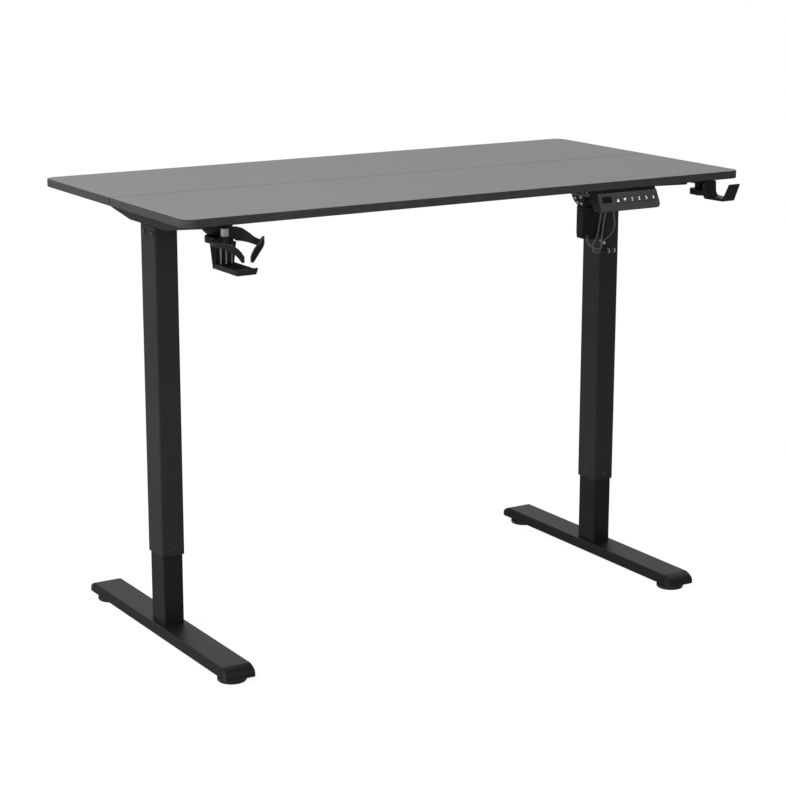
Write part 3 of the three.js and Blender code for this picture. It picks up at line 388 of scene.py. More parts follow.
def metal_finish(name, base, roughness, stretch):
    """Bare or plated metal with fine lines from turning or drawing."""
    finish = Finish(name)
    lines = finish.noise(500, 3, 0.6, stretch)
    cloud = finish.noise(60, 3, 0.6)
    return finish.surface(
        base_color=finish.mix(finish.band(cloud, 0.3, 0.7), shaded(base, 0.86), shaded(base, 1.1)),
        metallic=1.0,
        roughness=roughness + finish.band(lines, 0.3, 0.7) * 0.14,
        normal=finish.bump(lines, 0.00004, 0.4),
    )


def nylon_finish(base):
    """Natural nylon, slightly cloudy."""
    finish = Finish("nylon")
    cloud = finish.noise(90, 4, 0.6)
    return finish.surface(
        base_color=finish.mix(finish.band(cloud, 0.3, 0.7), shaded(base, 0.92), base),
        roughness=0.42 + cloud * 0.16,
        ior=1.53,
        normal=finish.bump(cloud, 0.0001, 0.3),
    )


def rubber_finish(base):
    """Smooth flexible sheath with faint drag marks along it."""
    finish = Finish("lead_sheath")
    drag = finish.noise(700, 3, 0.5)
    return finish.surface(
        base_color=finish.mix(finish.band(drag, 0.3, 0.7), shaded(base, 0.85), shaded(base, 1.2)),
        roughness=0.16 + drag * 0.12,
        ior=1.52,
        coat_weight=0.5 + drag * 0.3,
        normal=finish.bump(drag, 0.00005, 0.3),
    )


def printing_finish(base):
    """Pad-printed marks, a little uneven."""
    finish = Finish("key_printing")
    patch = finish.noise(1500, 2, 0.5)
    return finish.surface(
        base_color=finish.mix(finish.band(patch, 0.35, 0.65), shaded(base, 0.86), base),
        roughness=0.5 + patch * 0.1,
    )


def floor_finish(studio):
    """White floor that keeps part of the shadows that fall on it."""
    finish = Finish("studio_floor")
    camera, glossy, through = finish.rays()
    seen = finish.node("ShaderNodeMath", {"operation": "MAXIMUM"}, {0: camera, 1: through})
    either = finish.node("ShaderNodeMath", {"operation": "MAXIMUM"}, {0: seen, 1: glossy})
    level = seen * studio.floor_level + (1 - seen) * studio.floor_gloss
    plain = finish.node("ShaderNodeBsdfDiffuse", None, {"Color": (0.82, 0.82, 0.82, 1)})
    white = finish.node("ShaderNodeEmission", None, {"Color": (1, 1, 1, 1), "Strength": level})
    shares = {0: either * (1 - studio.shade), 1: plain, 2: white}
    finish.show(finish.node("ShaderNodeMixShader", None, shares))
    return finish.material


FINISHES = {}


def make_finishes(colours):
    """Makes every finish once, under the name that pieces ask for."""
    FINISHES.update(
        laminate=laminate_finish(colours.laminate),
        edge_band=edge_finish(colours.edge_band),
        powder=powder_finish("frame_powder_coat", colours.powder, 0.5),
        # Darker copy of the powder coat for the inner tubes and floor beams: painted shade on the lower
        # parts of the frame.
        powder_dark=powder_finish("lower_powder_coat_painted_shade", shaded(colours.powder, 0.6), 0.28),
        # Darker copy of the powder coat for the motor can: painted shade under the desktop.
        motor_coat=powder_finish("motor_coat", shaded(colours.powder, 0.4), 0.36),
        plastic=plastic_finish("black_plastic", colours.plastic),
        cup_plastic=plastic_finish("cup_plastic", shaded(colours.plastic, 0.7), 0.3, 0.28),
        # Much lighter plastic for the rib faces turned towards the key lamp: a painted highlight.
        rib_plastic=plastic_finish("rib_plastic", shaded(colours.panel_plastic, 3.0), 0.3, 0.5),
        # Darker copy of the black plastic: painted shade under the desktop, on the hook, worm gearcase,
        # key panel's sides and cup tray's floor.
        hook_plastic=plastic_finish("hook_plastic", shaded(colours.plastic, 0.4), 0.3, 0.25),
        # Darker plastic for the dark glue line on the desktop's rounded edges, and painted shade on the
        # faces of the groove at the boards' seam.
        edge_line=plastic_finish("edge_line", shaded(colours.plastic, 0.5), 0.6, 0.12),
        # Lighter black plastic for the key panel's front and keys: a painted reflection.
        panel_plastic=plastic_finish("panel_plastic", colours.panel_plastic),
        gloss=gloss_finish(colours.gloss),
        zinc=metal_finish("zinc_steel", colours.zinc, 0.26, (1, 1, 12)),
        bright=metal_finish("bright_zinc", (0.9, 0.91, 0.92), 0.36, (4, 4, 4)),
        spring=metal_finish("spring_zinc", (0.8, 0.81, 0.82), 0.46, (4, 4, 4)),
        steel=metal_finish("gear_steel", colours.steel, 0.3, (8, 8, 1)),
        black_steel=metal_finish("black_steel", (0.16, 0.16, 0.165), 0.28, (1, 1, 4)),
        nylon=nylon_finish(colours.nylon),
        rubber=rubber_finish(colours.rubber),
        printing=printing_finish(colours.printing),
    )


# ---------------------------------------------------------------- mesh making

TINY = 1e-5                     # a corner radius that reads as sharp
POINT = 1e-6                    # the radius of a turned shape where it meets its axis
HIDDEN = 0.0004                 # how far a screw head reaches into the face that it sits on
SHARP = math.radians(28)        # an edge that turns more than this is rounded
SHADED = math.radians(32)       # and one that turns more than this is shaded as sharp
EDGE_STEPS = 3                  # rings in each rounded edge of a board


def rounded(x0, x1, y0, y1, radii, steps):
    """Outline of a rectangle with round corners, anticlockwise from (x0, y0)."""
    if not hasattr(radii, "__len__"):
        radii = (radii,) * 4
    points = []
    spots = ((x0, y0, 180), (x1, y0, 270), (x1, y1, 0), (x0, y1, 90))
    for (x, y, start), radius in zip(spots, radii):
        radius = max(radius, TINY)
        cx = x + radius if x == x0 else x - radius
        cy = y + radius if y == y0 else y - radius
        for i in range(steps + 1):
            turn = math.radians(start + 90 * i / steps)
            points.append((cx + radius * math.cos(turn), cy + radius * math.sin(turn)))
    return points


def circle(radius, steps):
    turns = [2 * math.pi * i / steps for i in range(steps)]
    return [(radius * math.cos(turn), radius * math.sin(turn)) for turn in turns]


def ring_across(axis, outline, level, at):
    """An outline laid across the X or Z axis at a level, moved by a vector."""
    offset = Vector(at)
    if axis == "X":
        return [Vector((level, u, v)) + offset for u, v in outline]
    return [Vector((u, v, level)) + offset for u, v in outline]


class Form:
    """Closed shells that together make one piece."""

    def __init__(self):
        self.mesh = bmesh.new()

    def skin(self, rings, hollow=False):
        """Covers rings of equally many points, and closes the ends or joins the last to the first."""
        rows = [[self.mesh.verts.new(point) for point in ring] for ring in rings]
        pairs = list(zip(rows, rows[1:]))
        if hollow:
            pairs.append((rows[-1], rows[0]))
        for first, second in pairs:
            for i in range(len(first)):
                j = (i + 1) % len(first)
                self.mesh.faces.new((first[i], first[j], second[j], second[i]))
        if not hollow:
            self.mesh.faces.new(rows[0][::-1])
            self.mesh.faces.new(rows[-1])

    def prism(self, outline, low, high, axis="Z", at=(0, 0, 0)):
        """An outline pushed from low to high along an axis."""
        self.skin([ring_across(axis, outline, level, at) for level in (low, high)])

    def turned(self, profile, at, steps, axis="Z"):
        """A profile of (radius, height) turned about an axis."""
        self.skin([
            ring_across(axis, circle(max(radius, POINT), steps), level, at)
            for radius, level in profile
        ])

    def tube(self, outer, inner, low, high, axis="Z", at=(0, 0, 0)):
        """A hollow section between two outlines of equally many points."""
        levels = ((outer, low), (outer, high), (inner, high), (inner, low))
        self.skin([ring_across(axis, outline, level, at) for outline, level in levels], True)

    def screw(self, at, out, radius):
        """A round screw head with a cross recess, on a face whose outward direction is given."""
        height = radius * 0.62
        turn = Vector((0, 0, 1)).rotation_difference(Vector(out)).to_matrix()
        steps = 32

        def ring(level, size):
            points = []
            for i in range(steps):
                angle = 2 * math.pi * (i + 0.5) / steps
                points.append((size(angle) * math.cos(angle), size(angle) * math.sin(angle), level))
            return [turn @ Vector(point) + Vector(at) for point in points]

        def cross(reach, waist):
            def size(angle):
                slant = min(abs(math.cos(angle)), abs(math.sin(angle)))
                return min(reach, waist / max(slant, 1e-3))
            return size

        def plain(factor):
            return lambda angle: radius * factor

        self.skin([
            ring(-HIDDEN, plain(0.98)),
            ring(height * 0.25, plain(1)),
            ring(height * 0.55, plain(0.94)),
            ring(height * 0.82, plain(0.8)),
            ring(height * 0.96, plain(0.64)),
            ring(height, cross(radius * 0.52, radius * 0.13)),
            ring(height * 0.5, cross(radius * 0.36, radius * 0.1)),
        ])

    def path(self, line, radii, sides):
        """A round wire or sleeve along a line of points, with a radius for each."""
        rings = []
        side = None
        for i, (spot, radius) in enumerate(zip(line, radii)):
            run = (line[min(i + 1, len(line) - 1)] - line[max(i - 1, 0)]).normalized()
            if side is None:
                side = run.orthogonal().normalized()
            side = (side - run * side.dot(run)).normalized()
            other = run.cross(side)
            rings.append([spot + (side * u + other * v) * radius for u, v in circle(1, sides)])
        self.skin(rings)

    def copy_of(self, node):
        """Adds the frame node's own shape, with its flat faces made whole again."""
        copy = bmesh.new()
        copy.from_mesh(frame["nodes"][node].data)
        bmesh.ops.remove_doubles(copy, verts=copy.verts, dist=2e-6)
        bmesh.ops.dissolve_limit(copy, angle_limit=math.radians(1), verts=copy.verts, edges=copy.edges)
        plain = bpy.data.meshes.new("copy")
        copy.to_mesh(plain)
        copy.free()
        self.mesh.from_mesh(plain)
        bpy.data.meshes.remove(plain)

    def soften(self, width, segments=2):
        """Rounds every edge that turns sharply."""
        self.mesh.normal_update()
        sharp = [
            edge for edge in self.mesh.edges
            if len(edge.link_faces) == 2 and edge.calc_face_angle(0) > SHARP
        ]
        bmesh.ops.bevel(
            self.mesh, geom=sharp, offset=width, segments=segments, profile=0.5,
            affect="EDGES", clamp_overlap=True, miter_outer="ARC",
        )

    def stand_for(self, node, name, finishes, pick=None):
        """Makes the piece in the place of a frame node, on its body."""
        return self.finish(name, finishes, CARRIER[node], SLOT[node], (node,), pick)

    def finish(self, name, finishes, body, slot, replaces=(), pick=None):
        """Makes the piece, gives it its finish, and lets it ride on its body."""
        bmesh.ops.remove_doubles(self.mesh, verts=self.mesh.verts, dist=1e-7)
        bmesh.ops.recalc_face_normals(self.mesh, faces=self.mesh.faces)
        if pick:
            for face in self.mesh.faces:
                face.material_index = pick(face)
        data = bpy.data.meshes.new(name)
        self.mesh.to_mesh(data)
        self.mesh.free()
        data.shade_smooth()
        data.set_sharp_from_angle(angle=SHADED)
        for finish in [finishes] if isinstance(finishes, str) else finishes:
            data.materials.append(FINISHES[finish])
        piece = bpy.data.objects.new(name, data)
        bpy.context.scene.collection.objects.link(piece)
        weigh = piece.modifiers.new("even shading", "WEIGHTED_NORMAL")
        weigh.keep_sharp = True
        weigh.weight = 90
        return settle(piece, body, replaces)


def settle(piece, body, replaces=()):
    """Lets a piece ride on its body and hides the frame nodes that it stands for."""
    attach(piece, body)
    if replaces:
        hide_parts(*replaces)
    return piece


def inner_box(low, high, inset):
    """The sides of a box seen from above, moved inwards."""
    return low.x + inset, high.x - inset, low.y + inset, high.y - inset


def rims(low, high, radii, edge):
    """Rings of a plate between two corners, with round corners and round upper and lower edges."""
    rings = []
    turns = [i / EDGE_STEPS for i in range(EDGE_STEPS + 1)]
    for lower in (True, False):
        for turn in turns if lower else turns[::-1]:
            inset = edge * (1 - math.sin(turn * math.pi / 2))
            rise = edge * (1 - math.cos(turn * math.pi / 2))
            shrunk = [max(radius - inset, TINY) if radius > edge else TINY for radius in radii]
            outline = rounded(*inner_box(low, high, inset), shrunk, 12)
            level = low.z + rise if lower else high.z - rise
            rings.append([Vector((x, y, level)) for x, y in outline])
    return rings


def finish_node(node, finish):
    """Gives a frame node that stays in view its finish."""
    shape = frame["nodes"][node]
    shape.data.materials.clear()
    shape.data.materials.append(FINISHES[finish])


def refined(node, name, finish, width, segments=2, pick=None, change=None):
    """Stands for a frame node with softened edges."""
    form = Form()
    form.copy_of(node)
    if change:
        change(form.mesh)
    form.soften(width, segments)
    return form.stand_for(node, name, finish, pick)


def joint_record(name):
    """The record's own words on a joint."""
    return next(joint for joint in frame["record"]["behaviour"]["joints"] if joint["name"] == name)


# ---------------------------------------------------------------- stage

class DESK_OT_stage(bpy.types.Operator):
    """Set up the camera, the white floor and soft studio light"""

    bl_idname = "desk.stage"
    bl_label = "Stage"
    bl_options = {"REGISTER", "UNDO"}

    CAMERA = (-2160.8, -3499.1, 566.0)      # in millimetres, for deck()
    LOOK_AT = Vector((0, 0, 0.5))           # where both lamps point
    FLOOR_GAP = 0.0002                      # between the levelers and the floor

    def execute(self, context):
        studio = context.scene.desk_studio
        self.camera(studio, context)
        self.world(studio, context)
        self.lamps(studio, context)
        self.floor(studio, context)
        context.scene.view_settings.view_transform = "Standard"
        return {"FINISHED"}

    def camera(self, studio, context):
        data = bpy.data.cameras.new("camera")
        data.lens = studio.lens
        data.sensor_width = 36
        data.clip_end = 60
        camera = bpy.data.objects.new("camera", data)
        camera.matrix_world = (
            Matrix.Translation(deck(*self.CAMERA))
            @ Matrix.Rotation(-studio.yaw, 4, "Z")
            @ Matrix.Rotation(math.pi / 2 + studio.pitch, 4, "X")
            @ Matrix.Rotation(studio.roll, 4, "Z")
        )
        context.scene.collection.objects.link(camera)
        context.scene.camera = camera

    def world(self, studio, context):
        world = bpy.data.worlds.new("studio")
        context.scene.world = world
        sky = Nodes(world, "ShaderNodeOutputWorld")
        camera, glossy, through = sky.rays()
        # Reflections find white behind the desk and a dimmer room on the side of the viewer.
        way = sky.node("ShaderNodeTexCoord", output="Generated")
        x, y = sky.node("ShaderNodeSeparateXYZ", None, {0: way}, (0, 1))
        ahead = y * 0.9 - x * 0.42
        limits = {"From Min": -0.7, "From Max": 0.45, "To Min": 0.2, "To Max": 1.0}
        room = sky.node("ShaderNodeMapRange", None, {"Value": ahead, **limits})
        seen = camera + through
        level = seen + glossy * room + (1 - seen - glossy) * studio.world_level
        sky.show(sky.node("ShaderNodeBackground", None, {"Color": (1, 1, 1, 1), "Strength": level}))

    def lamps(self, studio, context):
        lamps = (
            ("key_lamp", (-2.7, -0.9, 2.3), 1.6, studio.key_power),
            ("fill_lamp", (1.4, -3.4, 2.0), 2.4, studio.fill_power),
        )
        for name, spot, size, energy in lamps:
            data = bpy.data.lights.new(name, "AREA")
            data.size = size
            data.energy = energy
            lamp = bpy.data.objects.new(name, data)
            lamp.location = spot
            lamp.rotation_euler = (self.LOOK_AT - Vector(spot)).to_track_quat("-Z", "Y").to_euler()
            lamp.visible_glossy = name != "key_lamp"        # so that the desktop doesn't mirror it
            context.scene.collection.objects.link(lamp)

    def floor(self, studio, context):
        reach = studio.floor_size / 2
        mesh = bmesh.new()
        bmesh.ops.create_grid(mesh, x_segments=8, y_segments=8, size=reach)
        data = bpy.data.meshes.new("floor")
        mesh.to_mesh(data)
        mesh.free()
        data.materials.append(floor_finish(studio))
        floor = bpy.data.objects.new("floor", data)
        floor.location.z = CAD_BOX[0][2] - self.FLOOR_GAP
        context.scene.collection.objects.link(floor)


# ---------------------------------------------------------------- leads

# Each lead's route in millimetres: from the right column's axis in X, and from the middle of the
# desktop's top surface in Y and Z.
PANEL_ROUTE = (
    (-199.5, -275.4, -26), (-199.5, -264, -25.6), (-199.2, -246, -25.2), (-198.2, -228, -26.4),
    (-193.5, -205, -29.6), (-179, -178, -37), (-154, -148, -47), (-125, -120, -57),
    (-94, -96, -64.5), (-62, -76, -70.5), (-37, -62, -78), (-20, -50, -88), (-11, -41.5, -99),
    (-6.2, -37.5, -110), (-3.2, -36, -121), (-1.8, -36, -131), (-3, -36, -139.5),
    (-7, -36.2, -147.5), (-13, -36.6, -153.8), (-20.5, -37, -158.5), (-27.5, -37.3, -163.5),
    (-33, -37.5, -170.5), (-36.6, -37.5, -180.8), (-40.4, -37.5, -185.8), (-45.9, -37.5, -187.6),
    (-51.6, -37.5, -185.8), (-55.3, -37.5, -180.8), (-55.6, -37.5, -174), (-53, -37.5, -166.5),
    (-49, -37.5, -157), (-44.4, -37.5, -146), (-42, -37.5, -134), (-39.8, -37.5, -122),
    (-38, -37.7, -111), (-38, -38.6, -100), (-42, -40, -89), (-52, -41, -79), (-67, -38, -70),
    (-84, -24, -62), (-99, -2, -57.5), (-117, 32, -56), (-133, 64, -54.5), (-144.5, 88, -48),
    (-151, 98.5, -41), (-156.2, 104, -36.2), (-162, 107.6, -33), (-168.9, 109, -31.5),
)
MOTOR_ROUTE = (
    (-63.1, -29.5, -150), (-66, -33, -150.6), (-70.5, -36.8, -153), (-73, -39.4, -158.5),
    (-71.3, -41.2, -165.5), (-66, -42.2, -171.5), (-59.5, -42.4, -176), (-53.5, -42.4, -178.6),
    (-47.6, -42.4, -179.2), (-41.8, -42.4, -176.8), (-38.2, -42.4, -171.4), (-37.6, -42.2, -164),
    (-38, -42, -157), (-37.8, -42, -150), (-36.2, -42, -141), (-34.7, -42, -131), (-33, -42, -121),
    (-31.3, -42.3, -112.5), (-30, -43.2, -104), (-30.5, -45, -94.5), (-36, -47, -85),
    (-48, -49, -77.5), (-64, -49.5, -72), (-80, -40, -68.5), (-94, -20, -66), (-106, 6, -64.5),
    (-121, 38, -63), (-133, 68, -61.5), (-143, 94, -56), (-151, 111, -48), (-156.2, 119, -40.3),
    (-159.4, 126.8, -35), (-161.7, 132.4, -32.8), (-165.2, 136, -31.8), (-168.9, 136.8, -31.5),
)


def route_point(spot):
    """A point of the leads' routes, in the frame's own metres."""
    x, y, z = spot
    return Vector((column_axis("right").x + x * MM, DECK.y + y * MM, DECK.z + z * MM))


def smooth_route(route, steps):
    """A centripetal Catmull-Rom curve through the points, sampled evenly enough to measure."""
    points = [route_point(spot) for spot in route]
    points = [points[0] * 2 - points[1]] + points + [points[-1] * 2 - points[-2]]
    line = []
    for a, b, c, d in zip(points, points[1:], points[2:], points[3:]):
        gaps = [max((q - p).length_squared ** 0.25, 1e-6) for p, q in ((a, b), (b, c), (c, d))]
        start = ((b - a) / gaps[0] - (c - a) / (gaps[0] + gaps[1]) + (c - b) / gaps[1]) * gaps[1]
        end = ((c - b) / gaps[1] - (d - b) / (gaps[1] + gaps[2]) + (d - c) / gaps[2]) * gaps[1]
        for i in range(steps):
            t = i / steps
            line.append(
                b * (2 * t**3 - 3 * t**2 + 1) + start * (t**3 - 2 * t**2 + t)
                + c * (3 * t**2 - 2 * t**3) + end * (t**3 - t**2)
            )
    line.append(points[-2])
    return line


def lead_curve(name, line, diameter):
    """A round lead along a line, as a curve of one open spline."""
    data = bpy.data.curves.new(name, "CURVE")
    data.dimensions = "3D"
    data.bevel_depth = diameter / 2
    data.bevel_resolution = 4
    data.use_fill_caps = True
    data.twist_mode = "MINIMUM"
    spline = data.splines.new("POLY")
    spline.points.add(len(line) - 1)
    for point, spot in zip(spline.points, line):
        point.co = (*spot, 1)
    data.materials.append(FINISHES["rubber"])
    lead = bpy.data.objects.new(name, data)
    bpy.context.scene.collection.objects.link(lead)
    return lead


def measure(line):
    return sum((q - p).length for p, q in zip(line, line[1:]))


class DESK_OT_leads(bpy.types.Operator):
    """Run the key panel's and the motor's lead to the control box, with plug, tie and sleeves"""

    bl_idname = "desk.leads"
    bl_label = "Leads"
    bl_options = {"REGISTER", "UNDO"}

    PLUG = (4.6, 4.0)               # how the radii of the plug's middle and of its grips compare
    GRIP_FROM, GRIP_TO, GRIP_PITCH = 0.003, 0.017, 0.0028
    RINGS = (0.0188, 0.0325)        # where the plug's bright rings start along it
    RING_WIDTH = 0.0022
    RIB, GROOVE = 0.86, 0.76        # a sleeve's radii as shares of its lead's diameter
    TAPER = 0.16                    # how much thinner a sleeve is at its far end
    SLEEVE = 9                      # how many points of the lead a sleeve covers
    STEPS = 6                       # points on a lead between two of its route
    TIE = (-33.5, -38.5, -167.5)    # where the tie holds the leads together, in the routes' own frame
    TIE_TURN = math.radians(38)

    def execute(self, context):
        sizes = context.scene.desk_sizes
        self.plug()
        plug = ["panel_lead_plug", "lead_plug_rings"]
        for name, route, node, diameter, pieces in (
            ("key_panel_lead", PANEL_ROUTE, "panel_lead", sizes.panel_lead, plug),
            ("drive_motor_lead", MOTOR_ROUTE, "motor_lead", sizes.motor_lead, []),
        ):
            line = smooth_route(route, self.STEPS)
            lead = settle(lead_curve(name, line, diameter), "upper_frame", (node,))
            measure(line)
            for word, end in (("start", line), ("end", line[::-1])):
                self.sleeve("%s_sleeve_%s" % (node, word), end[:self.SLEEVE], diameter)
        self.tie()
        return {"FINISHED"}

    def plug(self):
        """Socket and plug with grip grooves, and two bright rings round them."""
        low, high = corners("lead_plug")
        centre = (0, (low.y + high.y) / 2, (low.z + high.z) / 2)
        widest = (high.z - low.z) / 2
        reach = widest / self.PLUG[0] * self.PLUG[1]
        long = high.x - low.x
        profile = [(0, 0), (reach - 0.0012, 0), (reach - 0.0003, 0.0004), (reach, 0.0012)]
        start = self.GRIP_FROM
        while start < self.GRIP_TO:
            profile += [(reach, start), (reach - 0.0005, start + 0.0004),
                        (reach - 0.0005, start + 0.001), (reach, start + 0.0014)]
            start += self.GRIP_PITCH
        profile += [
            (reach, 0.0205), (widest - 0.0001, 0.0211), (widest, 0.0216), (widest, 0.0254),
            (widest - 0.0002, 0.026), (reach, 0.0265), (reach, long - 0.0052),
            (reach - 0.0016, long - 0.0005), (reach - 0.002, long), (0, long),
        ]
        form = Form()
        form.turned([(radius, low.x + w) for radius, w in profile], centre, 48, "X")
        form.stand_for("lead_plug", "panel_lead_plug", "plastic")
        form = Form()
        outer, inner = circle(reach + 0.0005, 48), circle(reach - 0.0006, 48)
        for start in self.RINGS:
            form.tube(outer, inner, low.x + start, low.x + start + self.RING_WIDTH, "X", centre)
        form.soften(0.0003, 2)
        form.finish("lead_plug_rings", "bright", "upper_frame", "zinc_steel")

    def sleeve(self, name, line, diameter):
        """Ribbed sleeve that keeps a lead from kinking where it leaves a case."""
        radii = [
            diameter * (self.RIB if i % 2 else self.GROOVE) * (1 - self.TAPER * i / len(line))
            for i in range(len(line))
        ]
        form = Form()
        form.path(line, radii, 20)
        form.finish(name, "plastic", "upper_frame", "black_plastic")

    def tie(self):
        """Cable tie round both leads, with its locking head and cut tail."""
        band = rounded(-0.0064, 0.0064, -0.0052, 0.0052, 0.0045, 8)
        inner = rounded(-0.0058, 0.0058, -0.0046, 0.0046, 0.004, 8)
        head = rounded(-0.0016, 0.0016, -0.0076, -0.0049, 0.0005, 3)
        tail = rounded(-0.0008, 0.0008, -0.0104, -0.0076, 0.0003, 3)
        form = Form()
        form.tube(band, inner, -0.0009, 0.0009)
        form.prism(head, -0.0015, 0.0015)
        form.prism(tail, -0.0004, 0.0004)
        spot = Matrix.Translation(route_point(self.TIE))
        form.mesh.transform(spot @ Matrix.Rotation(self.TIE_TURN, 4, "Y"))
        form.soften(0.0002, 2)
        form.finish("lead_tie", "nylon", "upper_frame", "nylon")


# ---------------------------------------------------------------- desktop

class DESK_OT_desktop(bpy.types.Operator):
    """Build the two laminate boards with their round corners and edge band"""

    bl_idname = "desk.desktop"
    bl_label = "Desktop"
    bl_options = {"REGISTER", "UNDO"}

    SEAM_CORNER = 0.0016        # radius of the boards' corners where they meet
    FLAT, ROUND = 0.85, 0.3     # how far up a face looks on the flat top, and on the round below it

    def execute(self, context):
        sizes = context.scene.desk_sizes
        for end in ENDS:
            low, high = corners("desktop_%s_board" % end)
            front = end == "front"
            radius = sizes.corner_radius
            small = self.SEAM_CORNER
            radii = (radius, radius, small, small) if front else (small, small, radius, radius)
            form = Form()
            form.skin(rims(low, high, radii, sizes.edge_round))
            finishes = ("laminate", "edge_band", "edge_line")
            form.stand_for("desktop_%s_board" % end, "board_" + end, finishes, self.part_of)
        refined("seam_plate", "seam_strap", "powder", sizes.sheet_round)
        return {"FINISHED"}

    def part_of(self, face):
        """Laminate on the flat faces, band on the sides, the dark glue line on the round between them,
        and painted shade on the faces of the seam's groove.
        """
        up = abs(face.normal.z)
        if up > self.FLAT:
            return 0
        seam = abs(face.calc_center_median().y - corners("desktop_front_board")[1].y) < 2 * MM
        corner = min(abs(face.normal.x), abs(face.normal.y)) > 0.1
        # Faces of the seam's groove take the darker plastic, painted shade between the boards.
        return 2 if up > self.ROUND or (seam and corner) else 1


# ---------------------------------------------------------------- columns and feet

class DESK_OT_columns(bpy.types.Operator):
    """Build the telescopic columns with their glide collars"""

    bl_idname = "desk.columns"
    bl_label = "Columns"
    bl_options = {"REGISTER", "UNDO"}

    OUTER_WALL = 0.0015
    INNER_WALL = 0.0016
    INNER_CORNER = 0.0008           # smallest radius of a corner inside a tube
    HEAD_SCREWS = (12.9, -20.7)     # places of the head bracket's screws across the web, in millimetres
    HEAD_DROP = 0.0132              # from the column's top to those screws
    COLLAR_RISE = 0.0112            # from the column's mouth to the collar's screws
    COLLAR_SHIFT = -0.0035          # of the collar's screws on the narrow sides

    def execute(self, context):
        sizes = context.scene.desk_sizes
        for side in SIDES:
            round_by = sizes.tube_corner
            for node, name, finish, corner, wall in (
                ("outer_tube_", "column_outer_", "powder", round_by, self.OUTER_WALL),
                # The inner tubes take the darker powder coat, painted shade low on the columns.
                ("inner_tube_", "column_inner_", "powder_dark", round_by * 0.8, self.INNER_WALL),
            ):
                form = Form()
                self.section(form, node + side, corner, wall, sizes.sheet_round)
                form.stand_for(node + side, name + side, finish)
            refined("glide_collar_" + side, "column_collar_" + side, "plastic", sizes.mould_round)
            self.screws(side, sizes)
        return {"FINISHED"}

    def section(self, form, node, corner, wall, edge):
        """A drawn steel tube with round corners and slightly broken ends."""
        low, high = corners(node)
        inner = max(corner - wall, self.INNER_CORNER)
        levels = (
            (edge, corner - edge, low.z), (0, corner, low.z + edge),
            (0, corner, high.z - edge), (edge, corner - edge, high.z),
            (wall, inner, high.z), (wall, inner, low.z),
        )
        form.skin([
            [Vector((x, y, z)) for x, y in rounded(*inner_box(low, high, inset), radius, 10)]
            for inset, radius, z in levels
        ], True)

    def screws(self, side, sizes):
        """Two screws into the head bracket, and the screws that hold the glide collar."""
        low, high = corners("outer_tube_" + side)
        web, out = (low.x, -1) if side == "left" else (high.x, 1)
        axis = column_axis(side)
        small = sizes.machine_screw * 0.5
        rise = low.z + self.COLLAR_RISE
        form = Form()
        for y in self.HEAD_SCREWS:
            spot = (web, axis.y + y * MM, high.z - self.HEAD_DROP)
            form.screw(spot, (out, 0, 0), sizes.machine_screw)
        for y, way in ((low.y, -1), (high.y, 1)):
            form.screw((axis.x, y, rise), (0, way, 0), small)
        for x, way in ((low.x, -1), (high.x, 1)):
            form.screw((x, axis.y + self.COLLAR_SHIFT, rise), (way, 0, 0), small)
        form.finish("column_screws_" + side, "black_steel", "upper_frame", "gear_steel")


class DESK_OT_feet(bpy.types.Operator):
    """Build the floor beams, their end caps and the levelers"""

    bl_idname = "desk.feet"
    bl_label = "Feet"
    bl_options = {"REGISTER", "UNDO"}

    DISC = 0.009        # height of a leveler's disc
    STEM = 0.004        # radius of its threaded stem
    PITCH = 0.00125     # of its thread

    def execute(self, context):
        sizes = context.scene.desk_sizes
        for side in SIDES:
            # The floor beams take the darker powder coat, painted shade low on the frame.
            refined("foot_beam_" + side, "floor_beam_" + side, "powder_dark", sizes.sheet_round)
            for end in ENDS:
                place = side + "_" + end
                refined("foot_cap_" + place, "beam_cap_" + place, "cup_plastic", sizes.mould_round, 3)
                self.leveler(place)
        return {"FINISHED"}

    def leveler(self, place):
        """A threaded stem on a round disc with a rounded rim."""
        node = "leveler_" + place
        low, high = corners(node)
        centre = ((low.x + high.x) / 2, (low.y + high.y) / 2, low.z)
        reach = (high.x - low.x) / 2
        rise = high.z - low.z
        disc, stem, pitch = self.DISC, self.STEM, self.PITCH
        profile = [
            (0, 0), (reach - 0.003, 0), (reach - 0.0015, 0.0005), (reach - 0.0004, 0.0018),
            (reach, 0.0034), (reach, disc - 0.0036), (reach - 0.0006, disc - 0.0018),
            (reach - 0.0024, disc - 0.0006), (reach - 0.005, disc), (reach * 0.5, disc), (stem, disc),
        ]
        level = disc + 0.0016
        while level + pitch < rise - 0.001:
            profile += [(stem, level), (stem - 0.0005, level + pitch / 2)]
            level += pitch
        profile += [(stem, rise - 0.0008), (stem - 0.0008, rise), (0, rise)]
        form = Form()
        form.turned(profile, centre, 72)
        form.stand_for(node, "leveler_disc_" + place, "plastic")


# ---------------------------------------------------------------- frame under the desktop

